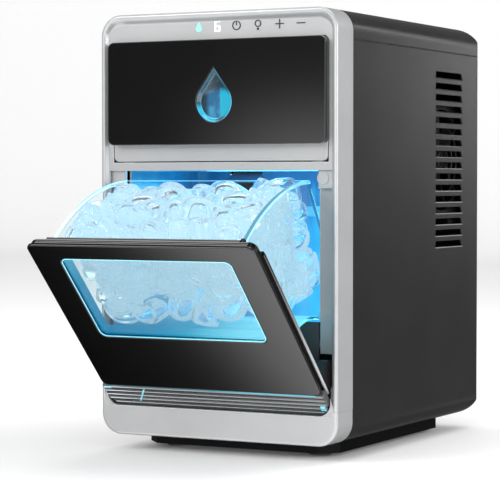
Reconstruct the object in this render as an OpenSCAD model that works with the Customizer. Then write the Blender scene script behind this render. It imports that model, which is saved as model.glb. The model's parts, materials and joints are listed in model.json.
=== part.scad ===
// Countertop nugget ice maker with a tilting ice-bin door and a pull-out water tank.
// Every piece is drawn in the cabinet's own frame: x = 0 in the middle, y = 0 at the front of the
// bezel and z = 0 under the cabinet. place() then moves it to the part's frame, whose origin is in
// the middle of the footprint on the surface that the feet stand on. +Z is up and -Y is the front.

/* [Cabinet] */
// Width of the cabinet
cabinet_w = 257.2; // [240:0.2:320]
// Height of the cabinet above its pedestal
cabinet_h = 410; // [395:1:500]
// Depth of the cabinet
cabinet_d = 354; // [350:1:430]
// Radius of the long edges that run from front to back
edge_r = 21; // [14:0.5:26]
// Radius of the top and bottom edges at the back
rear_edge_r = 28; // [16:0.5:36]
// Radius of the upright edges at the back
rear_corner_r = 10; // [6:0.5:14]
// Wall of the outer panels
panel_t = 2.4; // [1.8:0.1:3.4]
// Height of the top cover
top_cover_h = 28.7; // [27:0.1:36]

/* [Pedestal] */
// Height of the pedestal
pedestal_h = 12; // [8:0.5:18]
// Width of the pedestal
pedestal_w = 210; // [180:1:220]
// Distance of the pedestal behind the bezel's front
pedestal_front = 40; // [30:1:60]
// Distance of the pedestal from the cabinet's back
pedestal_back = 48; // [30:1:70]
// Chamfer of the pedestal's upright edges
pedestal_chamfer = 16; // [6:1:24]
// Radius of a rubber foot
foot_r = 11; // [8:0.5:15]
// Height that a foot stands out of the pedestal
foot_h = 4; // [3:0.5:8]

/* [Front bezel] */
// Depth of the bezel
bezel_d = 34; // [28:0.5:40]
// Width of the bezel's rim at the sides
rim_side = 7.2; // [6:0.1:9]
// Width of the bezel's rim at the top
rim_top = 6; // [5:0.1:8]
// Height of the lower trim at the corners
trim_corner_h = 33; // [30:0.5:40]
// Depth of the fascia behind the bezel's front
fascia_y = 5; // [3:0.5:8]
// Thickness of the fascia
fascia_t = 3; // [2:0.25:4]
// Height of the control strip above the drawer, rim included
control_h = 27; // [24:0.5:34]

/* [Water drawer] */
// Height of the drawer's black face plate
drawer_plate_h = 100; // [80:1:120]
// Height of the silver grip under the face plate
drawer_grip_h = 16; // [12:0.5:22]
// Distance that the face plate stands in front of the bezel
plate_proud = 4.2; // [2:0.1:6]
// Radius of the face plate's corners
plate_r = 6.5; // [3:0.5:12]
// Length of the tank behind the drawer's front
tank_d = 166; // [140:1:172]
// Wall of the tank
tank_t = 2.4; // [1.8:0.1:3.2]
// Width of the drop window
drop_w = 38.7; // [30:0.1:46]
// Height of the drop window
drop_h = 52.3; // [44:0.1:60]

/* [Door] */
// Angle by which the door stands open
door_open = 44; // [30:1:46]
// Height of the hinge axis
hinge_z = 46; // [42:0.5:54]
// Depth of the hinge axis behind the bezel's front
hinge_y = 10; // [9:0.25:12]
// Distance that the door stands in front of the bezel
door_proud = 4; // [3:0.25:6]
// Thickness of the door, apron and plate apart
door_t = 15; // [14:0.5:18]
// Height of the clear apron under the door plate
apron_h = 27; // [22:0.5:32]
// Distance from the hinge axis down to the apron's lower edge
apron_drop = 9.3; // [8:0.1:11]
// Gap between the door's top and the drawer's grip
door_top_gap = 8.3; // [6:0.1:12]
// Width of the door's window
window_w = 178; // [140:1:186]
// Height of the border above the window
window_top_border = 18; // [14:0.5:26]
// Height of the border below the window
window_low_border = 72; // [50:1:90]
// Radius of the hinge pins
hinge_pin_r = 4; // [3:0.1:4.8]

/* [Ice bin] */
// Depth of the bin at its rim
bin_rim_d = 132; // [110:1:134]
// Depth of the bin at its floor
bin_floor_d = 109; // [90:1:110]
// Wall of the bin
bin_t = 2.5; // [1.8:0.1:3.2]
// Radius of the door cowl, about the hinge axis
cowl_r = 70; // [62:1:74]

/* [Side vents] */
// Number of slots on each side
vent_rows = 16; // [8:1:16]
// Distance from one slot to the next
vent_pitch = 11.6; // [10:0.1:12]
// Height of a slot
vent_slot_h = 6.4; // [4:0.1:7]
// Length of a slot
vent_len = 72; // [50:1:80]
// Distance of the slots' middle from the cabinet's back
vent_back = 86; // [80:1:100]
// Distance of the uppermost slot from the cabinet's top
vent_top = 49.5; // [44:0.5:60]

/* [Ice making] */
// Inner radius of the freezing barrel
barrel_r = 19; // [15:0.5:22]
// Wall of the freezing barrel
barrel_t = 4; // [3:0.5:5]
// Radius of the auger's shaft
auger_shaft_r = 7; // [5:0.5:9]
// Radius of the compressor's can
compressor_r = 45; // [38:1:46]
// Height of the compressor's can
compressor_h = 128; // [100:1:140]
// Radius of the fan
fan_r = 51; // [42:1:52]

/* [Connections] */
// Outer radius of the drain spigot
spigot_r = 5; // [4:0.25:7]
// Length of the drain spigot behind the cabinet
spigot_out = 12; // [10:0.5:16]
// Radius of the hole for the power cord in its gland
gland_bore_r = 3.6; // [3:0.1:4.5]

/* [Fits] */
// Radial clearance of a shaft in its bore
running_fit = 0.05; // [0.02:0.01:0.08]
// Gap between pieces that pass each other
side_play = 0.4; // [0.35:0.05:0.6]

/* [Hidden] */
$fn = 96;
eps = 0.02;
far = 1000;

// Whole cabinet
half_w = cabinet_w / 2;
side_split = half_w - edge_r;
cover_z = cabinet_h - top_cover_h;
inner_half = half_w - panel_t;
base_h = pedestal_h + foot_h;
floor_z = panel_t;

// Openings of the front
open_half = half_w - rim_side;
strip_top = cabinet_h - rim_top;
drawer_top = cabinet_h - control_h;
plate_bottom = drawer_top - drawer_plate_h;
grip_bottom = plate_bottom - drawer_grip_h;
door_top = grip_bottom - door_top_gap;
mouth_lap = 0.7;
door_back = door_t - door_proud;
lip_t = 10;
lip_back = lip_t - door_proud;
lip_h = 17.7;
jamb_top = door_top - lip_h;
jamb_y = door_back + 2;
jamb_t = 2.4;
jamb_w = 16.4;
mouth_half = open_half - jamb_w;
mouth_top = door_top - mouth_lap;
catch_fascia_y = lip_back + 2;
apron_bottom = hinge_z - apron_drop;
plate_low = apron_bottom + apron_h;
sweep_r = norm([hinge_y + door_proud, apron_drop]);
trim_top = hinge_z - sweep_r - side_play;
knuckle_r = 6.5;
apron_back = hinge_y - knuckle_r;

// Footprint
door_front_dy = -door_proud - hinge_y;
front_reach = hinge_y + door_front_dy * cos(door_open) - (door_top - hinge_z) * sin(door_open);
back_reach = cabinet_d + spigot_out;
mid_y = (front_reach + back_reach) / 2;

// Ice bin and the cavity around it
bin_half = mouth_half - 5.5;
cavity_gap = 8;
rim_flange = 1.5;
liner_half = mouth_half - 2;
liner_t = 2;
rim_clear = 9;
rim_r = mouth_top - hinge_z - rim_clear;
bin_rear_y = door_back + bin_rim_d;
bin_low_y = door_back + bin_floor_d;
cowl_gap = 2.5;
bin_arc_r = cowl_r + cowl_gap;
bin_floor_z = hinge_z + 43.5;
floor_gap = 5.5;
liner_rear_y = bin_rear_y + cavity_gap;
liner_floor_z = bin_floor_z - floor_gap;
cowl_t = 3;
cowl_hollow_r = sweep_r + side_play + 0.8;

// Water tank
tank_front = fascia_y + 4;
tank_half = mouth_half + 1;
tank_z0 = grip_bottom + 1.5;
tank_z1 = drawer_top - 11;
tank_back = tank_front + tank_d;
spout_x = tank_half - 28;
spout_z = tank_z0 + 10;
spout_r = 5;
spout_len = 12;
float_x = tank_half - 20;
float_y = tank_back - 20;
float_r = 12;
float_h = 16;
stem_r = 2.5;
stem_h = 78;

// Machinery at the back
machine_y = cabinet_d - 104;
barrel_x = -48;
barrel_z0 = 112;
head_h = 30;
chute_out_z = mouth_top - 33;
chute_rise = 34;
head_z0 = chute_out_z + chute_rise;
gearbox_h = 34;
gearbox_half = 27;
gear_motor_r = 22;
coil_tube_r = 4;
coil_pitch = 9;
compressor_x = 42;
compressor_y = cabinet_d - 92;
grommet_h = 8;
fan_y = cabinet_d - vent_back;
fan_z = cabinet_h - vent_top - (vent_rows - 1) * vent_pitch / 2 - vent_slot_h / 2;
shroud_half = fan_r + 6;
shroud_x0 = inner_half - 30;
shroud_d = 24;
condenser_x0 = shroud_x0 - 30;
condenser_d = 24;
pump_x = 62;
pump_y = 120;
spigot_x = -liner_half + 13;
spigot_z = rear_edge_r + 12;
gland_x = side_split - 23;
gland_z = rear_edge_r + 10;

// ---------------------------------------------------------------- helpers

// Moves the cabinet's frame to the part's frame
module place() {
    translate([0, -mid_y, base_h]) children();
}

// Swings a piece that is drawn with the door closed to where the open door has it
module swing() {
    place()
        translate([0, hinge_y, hinge_z])
            rotate([door_open, 0, 0])
                translate([0, -hinge_y, -hinge_z])
                    children();
}

module both_sides() {
    children();
    mirror([1, 0, 0]) children();
}

module block(lo, hi) {
    translate(lo) cube(hi - lo);
}

// Extrudes an outline drawn in x and z from y0 to y1
module along_y(y0, y1) {
    translate([0, y1, 0]) rotate([90, 0, 0]) linear_extrude(y1 - y0) children();
}

// Extrudes an outline drawn in y and z from x0 to x1
module along_x(x0, x1) {
    translate([x0, 0, 0]) rotate([90, 0, 90]) linear_extrude(x1 - x0) children();
}

// Extrudes an outline drawn in x and y from z0 to z1
module along_z(z0, z1) {
    translate([0, 0, z0]) linear_extrude(z1 - z0) children();
}

// Rectangle from corner to corner with round corners
module round_rect(lo, hi, r) {
    translate([lo[0] + r, lo[1]]) square([hi[0] - lo[0] - 2 * r, hi[1] - lo[1]]);
    translate([lo[0], lo[1] + r]) square([hi[0] - lo[0], hi[1] - lo[1] - 2 * r]);
    for (x = [lo[0] + r, hi[0] - r], y = [lo[1] + r, hi[1] - r])
        translate([x, y]) circle(r);
}

// Round bar along X, Y or Z
module bar_x(x0, x1, y, z, r) {
    translate([x0, y, z]) rotate([0, 90, 0]) cylinder(r = r, h = x1 - x0);
}

module bar_y(y0, y1, x, z, r) {
    translate([x, y0, z]) rotate([-90, 0, 0]) cylinder(r = r, h = y1 - y0);
}

module bar_z(z0, z1, x, y, r) {
    translate([x, y, z0]) cylinder(r = r, h = z1 - z0);
}

// Tube along a route of straight stretches, with a round joint at each bend
module pipe(route, r) {
    for (i = [0 : len(route) - 2]) {
        step = route[i + 1] - route[i];
        turn = acos(step[2] / norm(step));
        heading = atan2(step[1], step[0]);
        translate(route[i]) rotate([0, turn, heading]) cylinder(r = r, h = norm(step));
    }
    for (i = [1 : len(route) - 2])
        translate(route[i]) sphere(r);
}

// ---------------------------------------------------------------- cabinet shell

// Closed outer form of the cabinet, made smaller by an inset on every side
module envelope(inset) {
    intersection() {
        along_y(0, cabinet_d - inset)
            round_rect([-half_w + inset, inset], [half_w - inset, cabinet_h - inset], edge_r - inset);
        along_x(-half_w, half_w)
            round_rect([-rear_edge_r * 2, inset], [cabinet_d - inset, cabinet_h - inset],
                rear_edge_r - inset);
        along_z(0, cabinet_h)
            round_rect([-half_w + inset, -rear_edge_r * 2], [half_w - inset, cabinet_d - inset],
                rear_corner_r - inset);
    }
}

// The part of the cabinet's wall between two corners of a box
module shell(lo, hi) {
    intersection() {
        difference() {
            envelope(0);
            envelope(panel_t);
        }
        block(lo, hi);
    }
}

module vent_slots() {
    front_slant = 1;
    back_slant = 3.4;
    for (row = [0 : vent_rows - 1])
        translate([0, fan_y, cabinet_h - vent_top - row * vent_pitch])
            along_x(side_split, half_w + 1)
                polygon([[-vent_len / 2 + front_slant, 0], [-vent_len / 2, -vent_slot_h],
                    [vent_len / 2, -vent_slot_h], [vent_len / 2 - back_slant, 0]]);
}

module side_panel() {
    difference() {
        shell([side_split, bezel_d, 0], [half_w, cabinet_d, cover_z]);
        vent_slots();
    }
}

module side_panel_right() {
    color("#1b1c1e") place() side_panel();
}

module side_panel_left() {
    color("#1b1c1e") place() mirror([1, 0, 0]) side_panel();
}

module top_cover() {
    color("#17181a") place() shell([-half_w, bezel_d, cover_z], [half_w, cabinet_d, cabinet_h]);
}

screw_r = 2;
screw_head_r = 3.6;
screw_head_h = 1.6;
screw_len = 6;
screw_in = 12;

// Places of the screws that hold the rear panel
rear_screw_xz = [for (x = [-side_split + screw_in, side_split - screw_in],
    z = [rear_edge_r * 2, cabinet_h / 2, cover_z - screw_in]) [x, z]];

module rear_panel() {
    grille_rows = 12;
    grille_pitch = 9;
    grille_half = 55;
    grille_slot = 4;
    color("#1b1c1e") place() difference() {
        shell([-side_split, cabinet_d - rear_edge_r, 0], [side_split, cabinet_d, cover_z]);
        for (row = [0 : grille_rows - 1])
            along_y(cabinet_d - rear_edge_r / 2, cabinet_d + 1)
                translate([0, cabinet_h / 2 + row * grille_pitch])
                    round_rect([-grille_half, 0], [grille_half, grille_slot], grille_slot / 2 - eps);
        bar_y(cabinet_d - panel_t - 1, cabinet_d + 1, spigot_x, spigot_z, spigot_r + 2);
        bar_y(cabinet_d - panel_t - 1, cabinet_d + 1, gland_x, gland_z, gland_bore_r + 3);
        for (p = rear_screw_xz)
            bar_y(cabinet_d - panel_t - 1, cabinet_d + 1, p[0], p[1], screw_r);
    }
}

module rear_screws() {
    color("#8d9094") place()
        for (p = rear_screw_xz) {
            bar_y(cabinet_d - screw_len, cabinet_d, p[0], p[1], screw_r);
            difference() {
                bar_y(cabinet_d, cabinet_d + screw_head_h, p[0], p[1], screw_head_r);
                translate([p[0], cabinet_d + screw_head_h, p[1]])
                    for (turn = [0, 90])
                        rotate([0, turn, 0])
                            cube([screw_head_r * 1.2, screw_head_h, screw_head_r / 4], center = true);
            }
        }
}

module base_plate() {
    color("#202124") place()
        shell([-side_split, bezel_d, 0], [side_split, cabinet_d - rear_edge_r, floor_z + eps]);
}

foot_plug_r = 5;
foot_plug_h = 6;
foot_in = 26;

// Places of the four feet
foot_xy = [for (x = [-1, 1] * (pedestal_w / 2 - foot_in),
    y = [pedestal_front + foot_in, cabinet_d - pedestal_back - foot_in]) [x, y]];

module pedestal() {
    x1 = pedestal_w / 2;
    y0 = pedestal_front;
    y1 = cabinet_d - pedestal_back;
    c = pedestal_chamfer;
    color("#141516") place() difference() {
        along_z(-pedestal_h, 0)
            polygon([[-x1 + c, y0], [x1 - c, y0], [x1, y0 + c], [x1, y1 - c],
                [x1 - c, y1], [-x1 + c, y1], [-x1, y1 - c], [-x1, y0 + c]]);
        for (p = foot_xy)
            bar_z(-pedestal_h - 1, -pedestal_h + foot_plug_h, p[0], p[1], foot_plug_r);
    }
}

module rubber_feet() {
    color("#0c0c0d") place()
        for (p = foot_xy) {
            bar_z(-base_h, -pedestal_h, p[0], p[1], foot_r);
            bar_z(-pedestal_h, -pedestal_h + foot_plug_h, p[0], p[1], foot_plug_r);
        }
}

// ---------------------------------------------------------------- bezel and fascia

module bezel_outline() {
    round_rect([-half_w, 0], [half_w, cabinet_h], edge_r);
}

module front_bezel() {
    color("#c9ccd0") place() along_y(0, bezel_d) difference() {
        bezel_outline();
        round_rect([-open_half, -edge_r], [open_half, strip_top], edge_r - rim_top);
        translate([-half_w, 0]) square([cabinet_w, trim_corner_h]);
    }
}

module lower_front_trim() {
    wall = 3;
    color("#c4c7cb") place() difference() {
        along_y(0, bezel_d) difference() {
            intersection() {
                bezel_outline();
                translate([-half_w, 0]) square([cabinet_w, trim_corner_h]);
            }
            translate([-open_half, trim_top]) square([2 * open_half, trim_corner_h]);
        }
        along_y(wall, bezel_d + 1)
            round_rect([-half_w + rim_side, wall], [half_w - rim_side, trim_top - wall],
                edge_r / 2 - wall);
    }
}

module front_fascia() {
    drawer_half = open_half - 4.4;
    corner = 5;
    color("#b9bcc1") place() {
        along_y(fascia_y, fascia_y + fascia_t) difference() {
            intersection() {
                round_rect([-open_half, -edge_r], [open_half, strip_top], edge_r - rim_top);
                translate([-open_half, grip_bottom - side_play * 2])
                    square([2 * open_half, cabinet_h]);
            }
            round_rect([-drawer_half, grip_bottom - edge_r], [drawer_half, drawer_top + side_play],
                corner);
        }
        along_y(catch_fascia_y, catch_fascia_y + fascia_t) difference() {
            translate([-open_half, jamb_top])
                square([2 * open_half, grip_bottom - jamb_top - side_play * 2]);
            translate([-mouth_half, jamb_top - 1]) square([2 * mouth_half, mouth_top - jamb_top + 1]);
        }
        along_y(fascia_y, catch_fascia_y + fascia_t)
            translate([-open_half, mouth_top])
                square([2 * open_half, grip_bottom - mouth_top - side_play * 2]);
    }
}

arm_top_z = hinge_z + 34;
arm_depth = 20;
arm_reach = norm([arm_depth, arm_top_z - hinge_z]);

module door_jambs() {
    z0 = hinge_z + arm_reach + side_play * 2;
    color("#a9adb3") place() both_sides()
        block([mouth_half, jamb_y, z0], [open_half, jamb_y + jamb_t, jamb_top]);
}

catch_x = mouth_half + 5;
catch_z = door_top - 8;
catch_r = 6;
catch_proud = 0.6;

module door_catches() {
    slot_w = 1.2;
    slot_h = 4;
    color("#c4c7cb") place() both_sides() difference() {
        bar_y(catch_fascia_y - catch_proud, catch_fascia_y, catch_x, catch_z, catch_r);
        block([catch_x - catch_r + slot_w, catch_fascia_y - catch_proud - 1, catch_z - slot_h / 2],
            [catch_x - catch_r + 2 * slot_w, catch_fascia_y - catch_proud / 2, catch_z + slot_h / 2]);
    }
}

// ---------------------------------------------------------------- controls

icon_z = drawer_top + 12.8;
icon_t = 0.4;
stroke = 1.1;
power_x = 20;
bulb_x = 43;
plus_x = 66;
minus_x = 88.5;
digit_x = -0.7;
status_x = -21;
icon_r = 4.6;

module icon_ring(r) {
    difference() {
        circle(r);
        circle(r - stroke);
    }
}

module touch_legend() {
    color("#4a4c50") place() along_y(fascia_y - icon_t, fascia_y) translate([0, icon_z]) {
        translate([power_x, 0]) {
            difference() {
                icon_ring(icon_r);
                translate([-stroke, 0]) square([2 * stroke, icon_r + 1]);
            }
            translate([-stroke / 2, 0]) square([stroke, icon_r + stroke]);
        }
        translate([bulb_x, 0]) {
            translate([0, stroke]) icon_ring(icon_r - stroke);
            translate([-stroke, -icon_r - stroke / 2]) square([2 * stroke, 2 * stroke]);
        }
        translate([plus_x, 0]) {
            square([2 * icon_r, stroke], center = true);
            square([stroke, 2 * icon_r], center = true);
        }
        translate([minus_x, 0]) square([2 * icon_r, stroke], center = true);
    }
}

// Seven-segment six, made of its lit bars
module display_digit() {
    w = 6;
    h = 10.5;
    bar = 1.4;
    color("#ffffff") place() along_y(fascia_y - icon_t, fascia_y)
        translate([digit_x - w / 2, icon_z - h / 2]) {
            for (z = [0, h / 2 - bar / 2, h - bar])
                translate([0, z]) square([w, bar]);
            square([bar, h]);
            translate([w - bar, 0]) square([bar, h / 2]);
        }
}

module status_light() {
    color("#3fd8ff") place() along_y(fascia_y - icon_t, fascia_y) translate([status_x, icon_z])
        drop_outline(icon_r * 1.3, icon_r * 2.1);
}

module control_board() {
    gap = 4;
    board_t = 1.6;
    y0 = fascia_y + fascia_t + gap;
    z0 = drawer_top + side_play * 5;
    x1 = open_half - edge_r;
    color("#1f5b3a") place() {
        block([-x1, y0, z0], [x1, y0 + board_t, strip_top - 1]);
        for (x = [status_x, digit_x, power_x, bulb_x, plus_x, minus_x])
            block([x - gap, y0 - gap, icon_z - gap], [x + gap, y0, icon_z + gap]);
    }
}

// ---------------------------------------------------------------- ice cavity

module cavity_liner() {
    x1 = liner_half + liner_t;
    y0 = jamb_y + jamb_t;
    y1 = liner_rear_y + liner_t;
    z0 = liner_floor_z - liner_t;
    z1 = mouth_top + liner_t;
    slack = 1;
    color("#d7ecf5") place() difference() {
        block([-x1, y0, z0], [x1, y1, z1]);
        block([-liner_half, y0 - 1, liner_floor_z], [liner_half, liner_rear_y, mouth_top]);
        // clear of the door's cowl
        bar_x(-far, far, hinge_y, hinge_z, cowl_r);
        // ice chute and light bar
        block([barrel_x - chute_half - chute_t - slack, liner_rear_y - 1,
                chute_out_z - chute_t - slack * 4],
            [barrel_x + chute_half + chute_t + slack, y1 + 1, mouth_top]);
        block([-light_half, light_y, mouth_top - 1], [light_half, light_y + light_d, z1 + 1]);
        bar_z(z0 - 1, z0 + liner_t + 1, sump_x, sump_y, hose_r - hose_t);
    }
}

module door_cowl() {
    x1 = liner_half;
    color("#101113") place() along_x(-x1, x1) difference() {
        intersection() {
            translate([hinge_y, hinge_z]) circle(cowl_r);
            translate([jamb_y, trim_top]) square([cowl_r, cowl_r * 2]);
        }
        difference() {
            intersection() {
                translate([hinge_y, hinge_z]) circle(cowl_r - cowl_t);
                translate([jamb_y + cowl_t, trim_top - 1]) square([cowl_r, cowl_r * 2]);
            }
            translate([hinge_y, hinge_z]) circle(cowl_hollow_r + cowl_t);
        }
        translate([hinge_y, hinge_z]) circle(cowl_hollow_r);
    }
}

light_half = 88;
light_y = 22;
light_d = 14;
light_h = 6;
lens_t = 2;

module light_bar() {
    lip = 3;
    color("#e9eef0") place() difference() {
        block([-light_half + lip, light_y + side_play, mouth_top + lens_t],
            [light_half - lip, light_y + light_d - side_play, mouth_top + light_h]);
        for (i = [-5 : 5])
            bar_z(mouth_top, mouth_top + lens_t + 1, i * light_half / 6, light_y + light_d / 2, 2);
    }
}

module light_lens() {
    color("#7fe0ff") place()
        block([-light_half, light_y, mouth_top], [light_half, light_y + light_d, mouth_top + lens_t]);
}

// ---------------------------------------------------------------- hinges

bracket_t = 1.2;
bracket_x = open_half - bracket_t;
arm_x0 = liner_half + liner_t + side_play * 2;
arm_x1 = bracket_x - side_play;

module hinge_brackets() {
    plate_h = 11;
    plate_y1 = 26;
    color("#6f7378") place() both_sides() {
        along_x(bracket_x, open_half)
            round_rect([apron_back + side_play, hinge_z - plate_h], [plate_y1, hinge_z + plate_h], 3);
        bar_x(arm_x0 + 1, bracket_x, hinge_y, hinge_z, hinge_pin_r);
    }
}

module hinge_arms() {
    color("#0f1011") swing() both_sides() difference() {
        along_x(arm_x0, arm_x1) {
            translate([hinge_y, hinge_z]) circle(knuckle_r);
            difference() {
                round_rect([door_back - knuckle_r, hinge_z - knuckle_r],
                    [door_back + arm_depth - 1, arm_top_z], knuckle_r);
                translate([0, 0]) square([door_back, far]);
            }
        }
        bar_x(arm_x0 - 1, arm_x1 + 1, hinge_y, hinge_z, hinge_pin_r + running_fit);
    }
}

// ---------------------------------------------------------------- door

window_half = window_w / 2;
window_z1 = door_top - window_top_border;
window_z0 = plate_low + window_low_border;
window_r = 7;
face_t = 3.5;
face_back = face_t - door_proud;
pane_sunk = 0.6;
pane_lap = 6;
pane_flange_t = 2;
gasket_t = 1;
door_half = open_half - 2.4;
frame_half = door_half - 2;
pane_gap = 0.1;
tray_t = 2;

module window_outline(grow) {
    round_rect([-window_half - grow, window_z0 - grow], [window_half + grow, window_z1 + grow],
        window_r + grow);
}

module door_face_plate() {
    color("#0b0b0d") swing() along_y(-door_proud, face_back) difference() {
        round_rect([-door_half, plate_low], [door_half, door_top], window_r);
        window_outline(0);
    }
}

// Pane with a flange behind the face plate and walls that line the opening to the door's back
module door_window() {
    color("#9fe4ff") swing() {
        along_y(pane_sunk - door_proud, face_back) window_outline(-pane_gap);
        along_y(face_back, face_back + pane_flange_t) window_outline(pane_lap);
        along_y(face_back, door_back) difference() {
            window_outline(-pane_gap);
            window_outline(-pane_gap - tray_t);
        }
    }
}

module window_gasket() {
    y0 = face_back + pane_flange_t;
    color("#2b2d30") swing() along_y(y0, y0 + gasket_t) difference() {
        window_outline(pane_lap);
        window_outline(0);
    }
}

module door_inner_frame() {
    color("#141517") swing() difference() {
        along_y(face_back, door_back)
            round_rect([-frame_half, plate_low + 1], [frame_half, door_top - 2], window_r);
        along_y(face_back - 1, face_back + pane_flange_t + gasket_t) window_outline(pane_lap);
        along_y(face_back - 1, door_back + 1) window_outline(0);
        block([-far, lip_back, jamb_top - side_play * 2], [far, far, door_top + 1]);
        bar_y(lip_back - stud_root, lip_back + 1, stud_x, stud_z, stud_r);
    }
}

stud_r = 2.5;
stud_root = 3;
stud_out = 6;
stud_x = mouth_half - stud_r - 1;
stud_z = mouth_top - stud_r * 2;

// Works the door switch behind the right catch
module latch_stud() {
    color("#101113") swing()
        bar_y(lip_back - stud_root, lip_back + stud_out, stud_x, stud_z, stud_r);
}

module door_apron() {
    x1 = arm_x1;
    low_r = 14;
    grooves = 4;
    groove_d = 1.2;
    groove_h = 1.6;
    color("#a9e6f7") swing() difference() {
        along_y(-door_proud, apron_back) difference() {
            round_rect([-x1, apron_bottom], [x1, plate_low + low_r], low_r);
            translate([-far, plate_low]) square([2 * far, far]);
        }
        for (i = [1 : grooves])
            block([-far, -door_proud - 1, apron_bottom + i * apron_h / (grooves + 1)],
                [far, -door_proud + groove_d, apron_bottom + i * apron_h / (grooves + 1) + groove_h]);
    }
}

// ---------------------------------------------------------------- ice bin

rim_z = hinge_z + sqrt(rim_r * rim_r - pow(bin_rear_y - hinge_y, 2));
wall_slope = (bin_rear_y - bin_low_y) / (rim_z - bin_floor_z);

// Side view of the bin's outline, made smaller by an inset below, in front and behind
module bin_section(inset, top) {
    reach = top - bin_floor_z - inset;
    difference() {
        polygon([[door_back + inset, bin_floor_z + inset],
            [bin_low_y - inset, bin_floor_z + inset],
            [bin_low_y - inset + wall_slope * reach, top],
            [door_back + inset, top]]);
        translate([hinge_y, hinge_z]) circle(bin_arc_r + inset);
    }
}

module ice_bin() {
    rim_band = 3;
    tall = hinge_z + rim_r + 10;
    color("#cfeefa") swing() difference() {
        union() {
            along_x(-bin_half, bin_half) intersection() {
                bin_section(0, tall);
                translate([hinge_y, hinge_z]) circle(rim_r);
            }
            along_x(-bin_half - rim_flange, bin_half + rim_flange) intersection() {
                bin_section(0, tall);
                difference() {
                    translate([hinge_y, hinge_z]) circle(rim_r);
                    translate([hinge_y, hinge_z]) circle(rim_r - rim_band);
                }
            }
        }
        along_x(-bin_half + bin_t, bin_half - bin_t) bin_section(bin_t, tall + 10);
    }
}

// ---------------------------------------------------------------- water drawer

// Drop with its point up, as wide and as tall as given, centred between its ends
module drop_outline(w, h) {
    r = w / 2;
    reach = h - r;
    lean = acos(r / reach);
    translate([0, r - h / 2]) {
        circle(r);
        polygon([[0, reach], [-r * sin(lean), r * cos(lean)], [0, -r / 2],
            [r * sin(lean), r * cos(lean)]]);
    }
}

drop_z = plate_bottom + 47.3;
drawer_plate_half = open_half - 3.4;
drawer_grip_half = open_half - 5;
plate_back = fascia_y;

module drawer_face_plate() {
    color("#0a0a0c") place() along_y(-plate_proud, plate_back) difference() {
        round_rect([-drawer_plate_half, plate_bottom], [drawer_plate_half, drawer_top], plate_r);
        translate([0, drop_z]) drop_outline(drop_w, drop_h);
    }
}

module drop_window() {
    set_back = 0.8;
    color("#38b6ea") place() along_y(-plate_proud + set_back, plate_back) translate([0, drop_z])
        drop_outline(drop_w, drop_h);
}

module drawer_front() {
    corner = 5;
    color("#bfc2c6") place() along_y(fascia_y, tank_front)
        round_rect([-drawer_grip_half, grip_bottom], [drawer_grip_half, drawer_top], corner);
}

module water_tank() {
    color("#bfe3f2") place() {
        difference() {
            block([-tank_half, tank_front, tank_z0], [tank_half, tank_back, tank_z1]);
            block([-tank_half + tank_t, tank_front + tank_t, tank_z0 + tank_t],
                [tank_half - tank_t, tank_back - tank_t, tank_z1 + 1]);
            bar_y(tank_back - tank_t - 1, tank_back + 1, spout_x, spout_z, spout_r - 2);
        }
        difference() {
            bar_y(tank_back, tank_back + spout_len, spout_x, spout_z, spout_r);
            bar_y(tank_back - 1, tank_back + spout_len + 1, spout_x, spout_z, spout_r - 2);
        }
        bar_z(tank_z0 + tank_t, tank_z0 + tank_t + stem_h, float_x, float_y, stem_r);
    }
}

module tank_float() {
    z0 = tank_z0 + tank_t + side_play;
    color("#f4f7f8") place() difference() {
        bar_z(z0, z0 + float_h, float_x, float_y, float_r);
        bar_z(z0 - 1, z0 + float_h + 1, float_x, float_y, stem_r + side_play * 2);
    }
}

module drawer_rails() {
    rail_w = 8;
    rail_t = 2;
    y0 = catch_fascia_y + fascia_t;
    color("#7b7f84") place() both_sides() {
        block([tank_half + side_play, y0, mouth_top + liner_t],
            [tank_half + side_play + rail_t, tank_back + 10, tank_z0 + rail_w]);
        block([tank_half - rail_w, y0, mouth_top + liner_t],
            [tank_half + side_play, tank_back + 10, tank_z0 - side_play]);
    }
}

module dock_socket() {
    wall = 4;
    y0 = tank_back + side_play;
    y1 = tank_back + spout_len + wall;
    color("#2c2e31") place() difference() {
        union() {
            bar_y(y0, y1, spout_x, spout_z, spout_r + wall);
            block([spout_x - spout_r - wall, y0, mouth_top + liner_t],
                [spout_x + spout_r + wall, y1, spout_z]);
        }
        bar_y(y0 - 1, tank_back + spout_len + side_play, spout_x, spout_z, spout_r + side_play);
    }
}

// ---------------------------------------------------------------- water circuit

hose_r = 5;
hose_t = 1.5;
sump_x = spigot_x;
sump_y = 110;
pump_r = 22;
pump_h = 36;

module water_pump() {
    motor_r = 17;
    motor_h = 26;
    flange = 4;
    color("#2a2c2f") place() {
        bar_z(floor_z, floor_z + pump_h, pump_x, pump_y, pump_r);
        bar_z(floor_z + pump_h, floor_z + pump_h + motor_h - flange, pump_x, pump_y, motor_r);
        block([pump_x - pump_r - flange, pump_y - pump_r - flange, floor_z],
            [pump_x + pump_r + flange, pump_y + pump_r + flange, floor_z + flange]);
    }
}

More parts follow.
